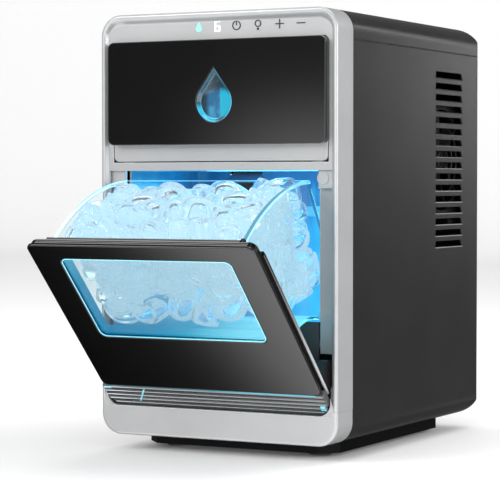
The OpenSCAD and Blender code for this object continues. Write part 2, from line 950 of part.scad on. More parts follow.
module water_hose() {
    down_y = tank_back + spout_len + 16;
    run_z = floor_z + pump_h / 2;
    feed_x = barrel_x;
    feed_y = machine_y - barrel_r - barrel_t - 2 * coil_tube_r;
    feed_z = barrel_z0 + 2 * hose_r;
    color("#9fb6bf") place() {
        difference() {
            pipe([[spout_x, tank_back + spout_len + 4, spout_z], [spout_x, down_y, spout_z],
                [spout_x, down_y, run_z], [pump_x, down_y, run_z],
                [pump_x, pump_y + pump_r - 3, run_z]], hose_r);
            bar_z(floor_z, floor_z + pump_h, pump_x, pump_y, pump_r);
        }
        difference() {
            pipe([[pump_x - pump_r + 3, pump_y, run_z], [0, pump_y, run_z],
                [0, pump_y + pump_r * 3, run_z], [feed_x, pump_y + pump_r * 3, run_z],
                [feed_x, pump_y + pump_r * 3, feed_z], [feed_x, feed_y + hose_r, feed_z]], hose_r);
            bar_z(floor_z, floor_z + pump_h, pump_x, pump_y, pump_r);
            bar_z(barrel_z0, head_z0, barrel_x, machine_y, barrel_r + barrel_t);
        }
    }
}

module drain_hose() {
    z0 = liner_floor_z - liner_t;
    color("#8fa4ad") place()
        pipe([[sump_x, sump_y, z0], [sump_x, sump_y, spigot_z],
            [spigot_x, cabinet_d - panel_t - spigot_flange_t, spigot_z]], hose_r);
}

spigot_flange_t = 3;

module drain_spigot() {
    color("#dfe3e5") place() difference() {
        union() {
            bar_y(cabinet_d - panel_t, back_reach, spigot_x, spigot_z, spigot_r);
            bar_y(cabinet_d - panel_t - spigot_flange_t, cabinet_d - panel_t, spigot_x, spigot_z,
                spigot_r + 5);
            bar_y(cabinet_d - panel_t, cabinet_d, spigot_x, spigot_z, spigot_r + 2);
        }
        bar_y(cabinet_d - panel_t - spigot_flange_t - 1, back_reach + 1, spigot_x, spigot_z,
            spigot_r - 1.8);
    }
}

module drain_plug() {
    depth = 9;
    color("#1d1e20") place()
        bar_y(back_reach - depth, back_reach, spigot_x, spigot_z, spigot_r - 1.8);
}

module cord_gland() {
    collar_t = 3;
    nose = 8;
    color("#151618") place() difference() {
        union() {
            bar_y(cabinet_d - panel_t, cabinet_d, gland_x, gland_z, gland_bore_r + 3);
            bar_y(cabinet_d, cabinet_d + collar_t, gland_x, gland_z, gland_bore_r + 5);
            bar_y(cabinet_d + collar_t, cabinet_d + nose, gland_x, gland_z, gland_bore_r + 2.4);
            bar_y(cabinet_d - panel_t - collar_t, cabinet_d - panel_t, gland_x, gland_z,
                gland_bore_r + 5);
        }
        bar_y(cabinet_d - far, cabinet_d + far, gland_x, gland_z, gland_bore_r);
    }
}

// ---------------------------------------------------------------- refrigeration

module compressor() {
    z0 = floor_z + grommet_h;
    plate_t = 3;
    color("#16181a") place() {
        bar_z(z0, z0 + compressor_h, compressor_x, compressor_y, compressor_r);
        difference() {
            block([compressor_x - compressor_r, compressor_y - compressor_r, z0],
                [compressor_x + compressor_r, compressor_y + compressor_r, z0 + plate_t]);
            for (p = grommet_xy)
                bar_z(z0 - 1, z0 + plate_t + 1, p[0], p[1], grommet_r);
        }
    }
}

grommet_r = 4;
grommet_xy = [for (x = [-1, 1], y = [-1, 1])
    [compressor_x + x * (compressor_r - 7), compressor_y + y * (compressor_r - 7)]];

module compressor_grommets() {
    color("#3b3d40") place()
        for (p = grommet_xy) {
            bar_z(floor_z, floor_z + grommet_h, p[0], p[1], grommet_r + 3);
            bar_z(floor_z + grommet_h, floor_z + grommet_h + 3, p[0], p[1], grommet_r);
        }
}

module condenser() {
    fins = 22;
    fin_t = 0.8;
    x1 = condenser_x0 + condenser_d;
    end_t = 2;
    color("#b8bcc0") place() {
        for (side = [-1, 1])
            block([condenser_x0, fan_y + side * (shroud_half - end_t / 2) - end_t / 2,
                    fan_z - shroud_half],
                [x1, fan_y + side * (shroud_half - end_t / 2) + end_t / 2, fan_z + shroud_half]);
        for (i = [0 : fins - 1])
            translate([0, 0, fan_z - shroud_half + (i + 0.5) * 2 * shroud_half / fins])
                block([condenser_x0, fan_y - shroud_half + end_t, 0],
                    [x1, fan_y + shroud_half - end_t, fin_t]);
    }
}

module fan_shroud() {
    strut = 3;
    color("#1a1b1d") place() {
        difference() {
            block([shroud_x0, fan_y - shroud_half, fan_z - shroud_half],
                [shroud_x0 + shroud_d, fan_y + shroud_half, fan_z + shroud_half]);
            bar_x(shroud_x0 - 1, shroud_x0 + shroud_d + 1, fan_y, fan_z, fan_r + 1.5);
        }
        difference() {
            for (turn = [0, 90])
                translate([shroud_x0, fan_y, fan_z]) rotate([turn, 0, 0])
                    block([0, -fan_r - 2, -strut / 2], [strut, fan_r + 2, strut / 2]);
            bar_x(shroud_x0 - 1, shroud_x0 + strut + 1, fan_y, fan_z, fan_motor_r);
        }
    }
}

fan_motor_r = 16;
fan_shaft_r = 2.5;
fan_motor_d = 9;

module fan_motor() {
    color("#303236") place() {
        bar_x(shroud_x0, shroud_x0 + fan_motor_d, fan_y, fan_z, fan_motor_r);
        bar_x(shroud_x0 + fan_motor_d, shroud_x0 + shroud_d - 3, fan_y, fan_z, fan_shaft_r);
    }
}

module fan_rotor() {
    blades = 7;
    blade_t = 1.6;
    pitch = 32;
    x0 = shroud_x0 + fan_motor_d + side_play;
    hub_r = 15;
    hub_d = 10;
    color("#0f1012") place() difference() {
        union() {
            bar_x(x0, x0 + hub_d, fan_y, fan_z, hub_r);
            intersection() {
                bar_x(x0, x0 + hub_d, fan_y, fan_z, fan_r);
                for (i = [0 : blades - 1])
                    translate([x0 + hub_d / 2, fan_y, fan_z])
                        rotate([i * 360 / blades, 0, 0]) rotate([0, 0, pitch])
                            block([-far, -blade_t / 2, hub_r - 1], [far, blade_t / 2, fan_r + 9]);
            }
        }
        bar_x(x0 - 1, x0 + hub_d + 1, fan_y, fan_z, fan_shaft_r + running_fit);
    }
}

module fan_guard() {
    wire_r = 0.9;
    ring_gap = 12;
    x0 = shroud_x0 + shroud_d + wire_r;
    color("#2b2d30") place() {
        for (r = [ring_gap : ring_gap : fan_r])
            translate([x0, fan_y, fan_z]) rotate([0, 90, 0])
                rotate_extrude() translate([r, 0]) circle(wire_r, $fn = 24);
        for (turn = [45, 135])
            translate([x0, fan_y, fan_z]) rotate([turn, 0, 0])
                translate([0, 0, -fan_r - 3]) cylinder(r = wire_r, h = 2 * (fan_r + 3), $fn = 24);
    }
}

line_r = 3;

module copper_lines() {
    can_top = floor_z + grommet_h + compressor_h;
    cond_low = fan_z - shroud_half;
    mid_x = condenser_x0 + condenser_d / 2;
    coil_y = machine_y + barrel_r + barrel_t + 2 * coil_tube_r + 1;
    rise = 12;
    suction_x = barrel_x + 38;
    suction_y = compressor_y + 10;
    color("#b87333") place() {
        pipe([[mid_x, fan_y - shroud_half / 2, cond_low],
            [mid_x, fan_y - shroud_half / 2, (cond_low + can_top) / 2],
            [compressor_x, fan_y - shroud_half / 2, (cond_low + can_top) / 2],
            [compressor_x, fan_y - shroud_half / 2, can_top]], line_r);
        pipe([[drier_x, drier_y, drier_z1], [drier_x, drier_y, drier_z1 + rise],
            [drier_x, coil_y + line_r + 1, drier_z1 + rise],
            [barrel_x, coil_y + line_r + 1, drier_z1 + rise]], line_r);
        pipe([[compressor_x, suction_y, can_top], [compressor_x, suction_y, can_top + 10],
            [suction_x, suction_y, can_top + 10], [suction_x, suction_y, can_top + 30]], line_r);
    }
}

drier_x = 12;
drier_y = cabinet_d - 30;
drier_z0 = 160;
drier_z1 = 230;
drier_r = 9;

module filter_drier() {
    color("#c07a42") place() {
        bar_z(drier_z0, drier_z1, drier_x, drier_y, drier_r);
        bar_z(drier_z0 - 14, drier_z0, drier_x, drier_y, line_r);
    }
}

module freezing_barrel() {
    wall = barrel_r + barrel_t;
    color("#c5c9cd") place() difference() {
        bar_z(barrel_z0, head_z0, barrel_x, machine_y, wall);
        bar_z(barrel_z0 - 1, head_z0 + 1, barrel_x, machine_y, barrel_r);
    }
}

module evaporator_coil() {
    ring_r = barrel_r + barrel_t + coil_tube_r + 0.1;
    z_first = barrel_z0 + 26;
    color("#b87333") place()
        for (z = [z_first : coil_pitch : head_z0 - coil_tube_r - 2])
            translate([barrel_x, machine_y, z])
                rotate_extrude() translate([ring_r, 0]) circle(coil_tube_r, $fn = 32);
}

module auger() {
    z0 = barrel_z0 + 2;
    z1 = head_z0 - 4;
    flight_r = barrel_r - side_play - 0.1;
    turns = 4;
    slices_per_turn = 16;
    color("#d8dbde") place() {
        bar_z(barrel_z0 - gearbox_h / 2, head_z0 + head_h - 6, barrel_x, machine_y, auger_shaft_r);
        translate([barrel_x, machine_y, z0])
            linear_extrude(z1 - z0, twist = -360 * turns, slices = slices_per_turn * turns, $fn = 16)
                square([2 * flight_r, 4], center = true);
    }
}

module extruder_head() {
    wall = barrel_r + barrel_t;
    outlet_h = 22;
    color("#e2e5e7") place() difference() {
        bar_z(head_z0, head_z0 + head_h, barrel_x, machine_y, wall + 3);
        bar_z(head_z0 - 1, head_z0 + head_h + 1, barrel_x, machine_y, auger_shaft_r + running_fit);
        difference() {
            bar_z(head_z0 - 1, head_z0 + outlet_h, barrel_x, machine_y, barrel_r);
            bar_z(head_z0 + outlet_h / 3, head_z0 + head_h, barrel_x, machine_y, auger_shaft_r + 4);
        }
        block([barrel_x - chute_half, machine_y - wall - 9, head_z0 + 3],
            [barrel_x + chute_half, machine_y, head_z0 + outlet_h]);
    }
}

chute_half = 16;
chute_t = 2;
chute_h = 24;
chute_y0 = bin_rear_y - 5;

module ice_chute() {
    y1 = machine_y - barrel_r - barrel_t - 3;
    color("#e8f0f3") place() difference() {
        along_x(barrel_x - chute_half - chute_t, barrel_x + chute_half + chute_t)
            polygon([[chute_y0, chute_out_z - chute_t], [y1, chute_out_z + chute_rise - chute_t],
                [y1, chute_out_z + chute_rise + chute_h], [chute_y0, chute_out_z + chute_h]]);
        along_x(barrel_x - chute_half, barrel_x + chute_half)
            polygon([[chute_y0 - 1, chute_out_z], [y1 + 1, chute_out_z + chute_rise],
                [y1 + 1, chute_out_z + chute_rise + chute_h - chute_t],
                [chute_y0 - 1, chute_out_z + chute_h - chute_t]]);
    }
}

module gear_motor() {
    z0 = barrel_z0 - gearbox_h;
    color("#4c5055") place() difference() {
        union() {
            block([barrel_x - gearbox_half, machine_y - gearbox_half, z0],
                [barrel_x + gearbox_half, machine_y + gearbox_half, barrel_z0]);
            bar_z(floor_z, z0, barrel_x, machine_y, gear_motor_r);
        }
        bar_z(barrel_z0 - gearbox_h / 2 - 1, barrel_z0 + 1, barrel_x, machine_y,
            auger_shaft_r + running_fit);
    }
}

module power_board() {
    board_t = 1.6;
    y1 = cabinet_d - panel_t - 12;
    x0 = -side_split + 16;
    z0 = cover_z - 90;
    board_w = 90;
    board_h = 70;
    tall = 20;
    color("#215f3d") place() {
        block([x0, y1 - board_t, z0], [x0 + board_w, y1, z0 + board_h]);
        block([x0 + 8, y1 - board_t - tall, z0 + 8], [x0 + 38, y1 - board_t, z0 + 40]);
        for (i = [0 : 2])
            bar_y(y1 - board_t - tall, y1 - board_t, x0 + 52 + i * 13, z0 + 18, 5);
    }
}

front_bezel();
lower_front_trim();
front_fascia();
door_jambs();
side_panel_left();
side_panel_right();
rear_panel();
top_cover();
base_plate();
pedestal();
rubber_feet();
cavity_liner();
door_cowl();
hinge_brackets();
door_catches();
light_bar();
light_lens();
control_board();
touch_legend();
display_digit();
status_light();
drawer_rails();
dock_socket();
water_pump();
water_hose();
compressor();
compressor_grommets();
condenser();
fan_shroud();
fan_guard();
fan_motor();
fan_rotor();
copper_lines();
filter_drier();
freezing_barrel();
evaporator_coil();
auger();
extruder_head();
ice_chute();
gear_motor();
power_board();
drain_hose();
drain_spigot();
drain_plug();
cord_gland();
rear_screws();
drawer_front();
drawer_face_plate();
drop_window();
water_tank();
tank_float();
door_face_plate();
door_window();
window_gasket();
door_inner_frame();
door_apron();
ice_bin();
hinge_arms();
latch_stud();
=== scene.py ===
"""Looks of a countertop nugget ice maker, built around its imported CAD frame. All lengths are in metres."""
import json
import math
import random

import bmesh
import bpy
from mathutils import Matrix, Vector, noise


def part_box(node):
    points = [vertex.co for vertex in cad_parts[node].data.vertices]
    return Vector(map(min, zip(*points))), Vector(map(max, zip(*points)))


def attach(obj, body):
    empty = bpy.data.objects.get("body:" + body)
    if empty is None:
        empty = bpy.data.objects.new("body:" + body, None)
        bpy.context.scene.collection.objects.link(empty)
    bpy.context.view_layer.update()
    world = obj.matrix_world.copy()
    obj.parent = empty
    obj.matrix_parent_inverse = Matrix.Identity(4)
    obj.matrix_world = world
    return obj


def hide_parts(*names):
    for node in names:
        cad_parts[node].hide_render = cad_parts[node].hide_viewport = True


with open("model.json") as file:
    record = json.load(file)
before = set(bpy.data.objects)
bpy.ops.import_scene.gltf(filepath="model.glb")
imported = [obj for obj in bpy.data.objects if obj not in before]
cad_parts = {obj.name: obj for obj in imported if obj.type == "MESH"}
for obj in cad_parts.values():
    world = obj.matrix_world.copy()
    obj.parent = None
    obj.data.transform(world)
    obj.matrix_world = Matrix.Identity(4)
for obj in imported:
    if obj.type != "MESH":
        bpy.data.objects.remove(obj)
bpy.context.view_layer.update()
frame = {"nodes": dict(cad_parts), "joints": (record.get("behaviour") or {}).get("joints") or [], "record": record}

MM = 0.001
NODES = frame["nodes"]
OWNER = {node: body for body, members in frame["record"]["behaviour"]["bodies"].items() for node in members}
SLOT = {part["node"]: part["material_slot"] for part in frame["record"]["subparts"]}
DOOR_JOINT = next(joint for joint in frame["joints"] if joint["name"] == "door_tilt")
HINGE = Vector(DOOR_JOINT["pos_m"])
OPEN_ANGLE = math.radians(-DOOR_JOINT["range_deg"][0])


# ---------------------------------------------------------------- places worked out from the frame

BEZEL_LOW, BEZEL_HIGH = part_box("front_bezel")
TRIM_LOW, TRIM_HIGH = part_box("lower_front_trim")
FRONT_Y = BEZEL_LOW.y
HALF_W = BEZEL_HIGH.x
CABINET_LOW_Z = TRIM_LOW.z
CABINET_TOP_Z = BEZEL_HIGH.z
BEZEL_DEPTH = BEZEL_HIGH.y - BEZEL_LOW.y
FASCIA_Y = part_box("front_fascia")[0].y
FASCIA_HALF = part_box("front_fascia")[1].x
EDGE_R = 21 * MM
DOOR_TOP_Z = HINGE.z + 212.7 * MM
PLATE_LOW_Z = HINGE.z + 17.7 * MM
DOOR_FRONT_Y = FRONT_Y - 4 * MM
WINDOW_HALF = 89 * MM
WINDOW_LOW_Z = HINGE.z + 89.7 * MM
WINDOW_HIGH_Z = HINGE.z + 194.7 * MM
WINDOW_R = 7 * MM
BIN_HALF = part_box("ice_bin")[1].x
BIN_FRONT_Y = FRONT_Y + 13.5 * MM
BIN_FLOOR_Z = HINGE.z + 46 * MM
BIN_BACK_Y = FRONT_Y + 117.5 * MM
BIN_BACK_LEAN = 23 / 107.5
BIN_ARC_R = 75 * MM
APRON_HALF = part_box("door_apron")[1].x
APRON_H = 27 * MM


# ---------------------------------------------------------------- shader helpers

def new_material(name):
    """An empty node material with its Principled shader."""
    made = bpy.data.materials.new(name)
    made.use_nodes = True
    return made, made.node_tree, made.node_tree.nodes["Principled BSDF"]


def noise_field(tree, scale, detail=4.0, stretch=(1, 1, 1)):
    """Noise over the piece's own coordinates, which don't move with the camera."""
    coords = tree.nodes.new("ShaderNodeTexCoord")
    mapping = tree.nodes.new("ShaderNodeMapping")
    mapping.inputs["Scale"].default_value = stretch
    field = tree.nodes.new("ShaderNodeTexNoise")
    field.inputs["Scale"].default_value = scale
    field.inputs["Detail"].default_value = detail
    tree.links.new(coords.outputs["Object"], mapping.inputs["Vector"])
    tree.links.new(mapping.outputs["Vector"], field.inputs["Vector"])
    return field.outputs["Fac"]


def mapped(tree, value, low, high, from_low=0.3, from_high=0.7):
    """Goes straight from low to high as the value goes over its own range; noise keeps to 0.3 to 0.7."""
    remap = tree.nodes.new("ShaderNodeMapRange")
    remap.inputs["From Min"].default_value = from_low
    remap.inputs["From Max"].default_value = from_high
    remap.inputs["To Min"].default_value = low
    remap.inputs["To Max"].default_value = high
    tree.links.new(value, remap.inputs["Value"])
    return remap.outputs["Result"]


def colour_between(tree, value, low, high):
    blend = tree.nodes.new("ShaderNodeMix")
    blend.data_type = "RGBA"
    blend.inputs["A"].default_value = (*low, 1)
    blend.inputs["B"].default_value = (*high, 1)
    tree.links.new(value, blend.inputs["Factor"])
    return blend.outputs["Result"]


def add_bump(tree, shader, height, distance, strength=1.0):
    bump = tree.nodes.new("ShaderNodeBump")
    bump.inputs["Strength"].default_value = strength
    bump.inputs["Distance"].default_value = distance
    tree.links.new(height, bump.inputs["Height"])
    tree.links.new(bump.outputs["Normal"], shader.inputs["Normal"])


def surface(name, low, high, rough, metal=0.0, grain=900, grain_depth=0.03 * MM, cloud=18,
            coat=0.0, coat_rough=0.05, stretch=(1, 1, 1), specular=0.5):
    """A solid surface: its colour drifts from low to high, and a grain varies its roughness within rough."""
    made, tree, shader = new_material(name)
    drift = noise_field(tree, cloud)
    fine = noise_field(tree, grain, 2.0, stretch)
    tree.links.new(colour_between(tree, mapped(tree, drift, 0, 1), low, high), shader.inputs["Base Color"])
    tree.links.new(mapped(tree, fine, rough[0], rough[1]), shader.inputs["Roughness"])
    shader.inputs["Metallic"].default_value = metal
    shader.inputs["Specular IOR Level"].default_value = specular
    shader.inputs["Coat Weight"].default_value = coat
    shader.inputs["Coat Roughness"].default_value = coat_rough
    add_bump(tree, shader, fine, grain_depth)
    return made


def clear(name, tint, rough, ior=1.49, glow=None, glow_strength=0.0, ripple=0.0, ripple_scale=60):
    """A clear plastic, glass or ice: tint colours what passes through, glow is light that it gives back."""
    made, tree, shader = new_material(name)
    drift = noise_field(tree, ripple_scale, 3.0)
    shader.inputs["Transmission Weight"].default_value = 1.0
    shader.inputs["IOR"].default_value = ior
    pale = tuple(min(1.0, part * 1.06) for part in tint)
    tree.links.new(colour_between(tree, mapped(tree, drift, 0, 1), tint, pale), shader.inputs["Base Color"])
    tree.links.new(mapped(tree, drift, rough[0], rough[1]), shader.inputs["Roughness"])
    if glow:
        shader.inputs["Emission Color"].default_value = (*glow, 1)
        shader.inputs["Emission Strength"].default_value = glow_strength
    if ripple:
        add_bump(tree, shader, drift, ripple)
    return made


def lit(name, colour, strength, cloud=40):
    """A lit face whose brightness drifts a little over it."""
    made, tree, shader = new_material(name)
    drift = noise_field(tree, cloud, 2.0)
    dim = tuple(part * 0.8 for part in colour)
    shade = colour_between(tree, mapped(tree, drift, 0, 1), dim, colour)
    tree.links.new(shade, shader.inputs["Base Color"])
    tree.links.new(shade, shader.inputs["Emission Color"])
    shader.inputs["Emission Strength"].default_value = strength
    shader.inputs["Roughness"].default_value = 0.3
    return made


def place_of(tree, axis):
    """The X, Y or Z of the shaded point in the part's own frame."""
    coords = tree.nodes.new("ShaderNodeTexCoord")
    split = tree.nodes.new("ShaderNodeSeparateXYZ")
    tree.links.new(coords.outputs["Object"], split.inputs["Vector"])
    return split.outputs[axis]


def fade(tree, value, start, end, low=0.0, high=1.0):
    """Goes softly from low at start to high at end."""
    made = tree.nodes.new("ShaderNodeMapRange")
    made.interpolation_type = "SMOOTHSTEP"
    flip = start > end
    for key, number in {"From Min": min(start, end), "From Max": max(start, end),
                        "To Min": high if flip else low, "To Max": low if flip else high}.items():
        made.inputs[key].default_value = number
    tree.links.new(value, made.inputs["Value"])
    return made.outputs["Result"]


def combine(tree, operation, left, right):
    """One math operation on sockets or numbers."""
    made = tree.nodes.new("ShaderNodeMath")
    made.operation = operation
    for socket, value in zip(made.inputs, (left, right)):
        if isinstance(value, (int, float)):
            socket.default_value = value
        else:
            tree.links.new(value, socket)
    return made.outputs["Value"]


def paint(tree, under, mask, over):
    """The colour over where the mask is 1, on top of the colour under; each is a colour or a socket."""
    made = tree.nodes.new("ShaderNodeMix")
    made.data_type = "RGBA"
    for key, colour in (("A", under), ("B", over)):
        if isinstance(colour, tuple):
            made.inputs[key].default_value = (*colour, 1)
        else:
            tree.links.new(colour, made.inputs[key])
    tree.links.new(mask, made.inputs["Factor"])
    return made.outputs["Result"]


def ramp(tree, value, stops):
    """A colour by value: stops are (place, colour) pairs."""
    made = tree.nodes.new("ShaderNodeValToRGB")
    while len(made.color_ramp.elements) < len(stops):
        made.color_ramp.elements.new(0.5)
    for element, (place, colour) in zip(made.color_ramp.elements, stops):
        element.position = place
        element.color = (*colour, 1)
    tree.links.new(value, made.inputs["Fac"])
    return made.outputs["Color"]


def glow_material(name, make_shade, strength, rough=0.2, base=(0.02, 0.10, 0.14), coat=0.0):
    """A surface that gives back blue light; make_shade builds its colour in the tree."""
    made, tree, shader = new_material(name)
    tree.links.new(make_shade(tree), shader.inputs["Emission Color"])
    shader.inputs["Emission Strength"].default_value = strength
    tree.links.new(colour_between(tree, mapped(tree, noise_field(tree, 60), 0, 1), base,
                                  tuple(part * 1.4 for part in base)), shader.inputs["Base Color"])
    shader.inputs["Roughness"].default_value = rough
    shader.inputs["Coat Weight"].default_value = coat
    add_bump(tree, shader, noise_field(tree, 260, 2.0), 0.06 * MM)
    return made


def ramped(name, along, stops, rough, coat=0.0, grain=900):
    """A surface whose colour runs through the stops; along(tree) gives the place on them."""
    made, tree, shader = new_material(name)
    tree.links.new(ramp(tree, along(tree), stops), shader.inputs["Base Color"])
    tree.links.new(mapped(tree, noise_field(tree, grain), *rough), shader.inputs["Roughness"])
    shader.inputs["Coat Weight"].default_value = coat
    return made


def liner_shade(tree):
    """Painted blue light: deep blue under the roof, paler below with painted light streaks, painted shade on the
    left.
    """
    low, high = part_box("cavity_liner")
    stops = [(0.0, (0.03, 0.42, 0.85)), (0.3, (0.04, 0.50, 0.93)), (0.66, (0.02, 0.40, 0.86)),
             (0.78, (0.004, 0.17, 0.48)), (1.0, (0.003, 0.11, 0.36))]
    shade = ramp(tree, mapped(tree, place_of(tree, "Z"), 0, 1, low.z, high.z), stops)
    streak = fade(tree, noise_field(tree, 55, 3.0, (1, 1, 0.35)), 0.52, 0.72, 0.0, 0.45)
    shade = paint(tree, shade, streak, (0.10, 0.62, 1.0))
    painted_shade_left = fade(tree, place_of(tree, "X"), 30 * MM, -90 * MM, 0.0, 0.8)
    return paint(tree, shade, painted_shade_left, (0.001, 0.03, 0.12))


def tray_shade(tree):
    """Painted blue light: teal on the left wall, paler up high, with painted shade in its lower corner, and pale
    towards the right.
    """
    along = fade(tree, place_of(tree, "X"), -70 * MM, 85 * MM)
    stops = [(0.0, (0.0, 0.19, 0.38)), (0.4, (0.01, 0.30, 0.52)), (1.0, (0.16, 0.72, 0.92))]
    shade = ramp(tree, along, stops)
    upper = fade(tree, place_of(tree, "Z"), CABINET_LOW_Z + 150 * MM, CABINET_LOW_Z + 205 * MM)
    left = fade(tree, place_of(tree, "X"), -60 * MM, -80 * MM)
    return paint(tree, shade, combine(tree, "MULTIPLY", upper, left), (0.07, 0.42, 0.62))


def drop_place(tree):
    """Place on the drop, from -1 to 1 across and up."""
    low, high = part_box("drop_window")
    across = mapped(tree, place_of(tree, "X"), -1, 1, low.x, high.x)
    up = mapped(tree, place_of(tree, "Z"), -1, 1, low.z, high.z)
    return across, up


def drop_rim_shade(tree):
    """The drop's bevel: dark at its shoulders, lit on the right and in a crescent at the lower left."""
    across, up = drop_place(tree)
    crescent = combine(tree, "MULTIPLY", fade(tree, up, -0.25, -0.55), fade(tree, across, 0.35, -0.1))
    right = combine(tree, "MULTIPLY", fade(tree, across, 0.35, 0.75), fade(tree, up, 0.25, -0.1))
    shade = paint(tree, (0.004, 0.06, 0.10), right, (0.01, 0.42, 0.62))
    return paint(tree, shade, crescent, (0.03, 0.55, 0.80))


def drop_face_shade(tree):
    """Water behind the drop in painted light: dark above, blue in the middle and a painted bright band right of an
    upright edge.
    """
    across, up = drop_place(tree)
    body = combine(tree, "MULTIPLY", fade(tree, up, 0.35, -0.05), fade(tree, across, -0.62, -0.3))
    shade = paint(tree, (0.003, 0.018, 0.028), body, (0.018, 0.14, 0.30))
    swirl = combine(tree, "MULTIPLY", body, fade(tree, noise_field(tree, 120, 4.0, (1, 1, 0.4)), 0.5, 0.7))
    shade = paint(tree, shade, swirl, (0.05, 0.32, 0.55))
    bright = combine(tree, "MULTIPLY", fade(tree, across, 0.24, 0.27), fade(tree, up, 0.30, 0.05))
    return paint(tree, shade, bright, (0.01, 0.46, 0.68))


def ledge_shade(tree):
    return ramp(tree, noise_field(tree, 30), [(0.3, (0.08, 0.55, 0.92)), (0.7, (0.16, 0.68, 1.0))])


def seam_light_shade(tree):
    """Light in the seam over the apron: faint on the left, strong from the middle to the right."""
    along = fade(tree, place_of(tree, "X"), -50 * MM, 60 * MM)
    stops = [(0.0, (0.05, 0.07, 0.08)), (0.5, (0.03, 0.22, 0.30)), (1.0, (0.06, 0.55, 0.75))]
    return ramp(tree, along, stops)


def spot_shade(tree):
    return ramp(tree, noise_field(tree, 200), [(0.3, (0.03, 0.60, 0.80)), (0.7, (0.35, 0.90, 1.0))])


SILVER = surface("silver_painted_plastic", (0.40, 0.405, 0.41), (0.44, 0.445, 0.45), (0.28, 0.38),
                 metal=0.35, grain=2600, grain_depth=0.008 * MM, coat=0.25, coat_rough=0.2)
SHELL = surface("black_satin_shell", (0.010, 0.010, 0.011), (0.014, 0.014, 0.015), (0.12, 0.18),
                grain=1800, grain_depth=0.02 * MM)
BASE_BLACK = surface("black_moulded_plastic", (0.004, 0.004, 0.005), (0.008, 0.008, 0.009), (0.30, 0.42),
                     grain=1500, grain_depth=0.03 * MM, specular=0.35)
GLOSS = surface("black_gloss_plastic", (0.0008, 0.0008, 0.0009), (0.0015, 0.0015, 0.0016), (0.08, 0.11),
                grain=3000, grain_depth=0.002 * MM, coat=0.3, coat_rough=0.04)
COWL = surface("grey_cowl_plastic", (0.045, 0.044, 0.043), (0.055, 0.054, 0.053), (0.45, 0.6), grain=1500)
RUBBER = surface("black_rubber", (0.008, 0.008, 0.008), (0.02, 0.02, 0.021), (0.65, 0.85),
                 grain=1200, grain_depth=0.06 * MM)
STEEL = surface("brushed_steel", (0.50, 0.51, 0.53), (0.60, 0.61, 0.62), (0.22, 0.38), metal=1.0,
                grain=900, grain_depth=0.01 * MM, stretch=(1, 12, 12))
COPPER = surface("drawn_copper", (0.62, 0.27, 0.13), (0.78, 0.40, 0.24), (0.22, 0.36), metal=1.0,
                 grain=700, grain_depth=0.01 * MM)
# Black enamel; the condenser takes it too, where its black is painted shade for the dark behind the vents.
ENAMEL_AND_SHADE = surface("black_enamel_and_painted_shade", (0.006, 0.006, 0.007), (0.012, 0.012, 0.013), (0.25, 0.35),
                 grain=900, grain_depth=0.02 * MM)
MOTOR = surface("glass_filled_plastic", (0.010, 0.010, 0.011), (0.02, 0.02, 0.022), (0.5, 0.65),
                grain=1400, grain_depth=0.04 * MM)
BOARD = surface("solder_mask", (0.01, 0.09, 0.035), (0.02, 0.15, 0.06), (0.25, 0.4), grain=700,
                grain_depth=0.03 * MM)
WHITE = surface("white_moulded_plastic", (0.68, 0.69, 0.69), (0.76, 0.77, 0.77), (0.35, 0.5),
                grain=1600, grain_depth=0.03 * MM)
LEGEND = surface("printed_legend", (0.012, 0.012, 0.013), (0.02, 0.02, 0.022), (0.4, 0.55), grain=2000)
HOSE = clear("milky_hose", (0.75, 0.82, 0.85), (0.35, 0.5), ior=1.4)
TANK = clear("smoked_clear_tank", (0.62, 0.72, 0.78), (0.06, 0.12))
PANE = clear("window_pane", (0.95, 0.99, 1.0), (0.01, 0.03), ior=1.3)
BIN = clear("clear_bin", (0.86, 0.96, 1.0), (0.01, 0.03), ior=1.2)
BIN_RIM = clear("lit_bin_rim", (0.75, 0.94, 1.0), (0.05, 0.12), ior=1.1, glow=(0.25, 0.66, 0.95),
                glow_strength=0.6)
APRON = surface("smoked_ribbed_apron", (0.10, 0.105, 0.11), (0.14, 0.145, 0.15), (0.06, 0.12), coat=0.6,
                grain=600, grain_depth=0.01 * MM)
APRON.node_tree.nodes["Principled BSDF"].inputs["Transmission Weight"].default_value = 0.35
# The ice's glow is painted light, standing in for the blue light that fills the bin.
ICE = clear("clear_ice", (0.93, 0.98, 1.0), (0.02, 0.08), ior=1.31, glow=(0.53, 0.77, 0.92),
            glow_strength=0.085, ripple=0.3 * MM, ripple_scale=60)
LENS = lit("blue_light_lens", (0.05, 0.42, 0.85), 1.5)
DIGIT = lit("white_digit", (0.95, 0.96, 0.97), 0.85)
STATUS = lit("cyan_status", (0.22, 0.66, 0.64), 0.75)
LINER = surface("white_food_grade_plastic", (0.55, 0.60, 0.62), (0.62, 0.66, 0.68), (0.35, 0.45))
LINER_LIT = glow_material("liner_lit_blue", liner_shade, 1.0, 0.25)
LEDGE = glow_material("ledge_lit_blue", ledge_shade, 0.9)
TRAY = glow_material("window_tray_lit", tray_shade, 1.0, 0.12, (0.01, 0.06, 0.08), coat=0.5)
RIM_LIGHT = lit("window_rim_light", (0.30, 0.72, 0.85), 0.7)
DROP_RIM = glow_material("drop_rim_lit", drop_rim_shade, 1.0, 0.08, (0.004, 0.02, 0.03), coat=1.0)
DROP = glow_material("drop_lit_water", drop_face_shade, 1.0, 0.06, (0.003, 0.012, 0.018), coat=1.0)
SEAM_LIGHT = glow_material("seam_light", seam_light_shade, 1.0)
SPOT_LIGHT = glow_material("corner_light", spot_shade, 0.9)

# A darker, duller copy of the black plastic: painted shade on the pedestal by the floor and on the door's inner
# frame in its gaps.
SHADED_BLACK = surface("shaded_black_plastic", (0.0010, 0.0010, 0.0010), (0.0018, 0.0018, 0.0018),
                       (0.4, 0.5), grain=1500, specular=0.08)
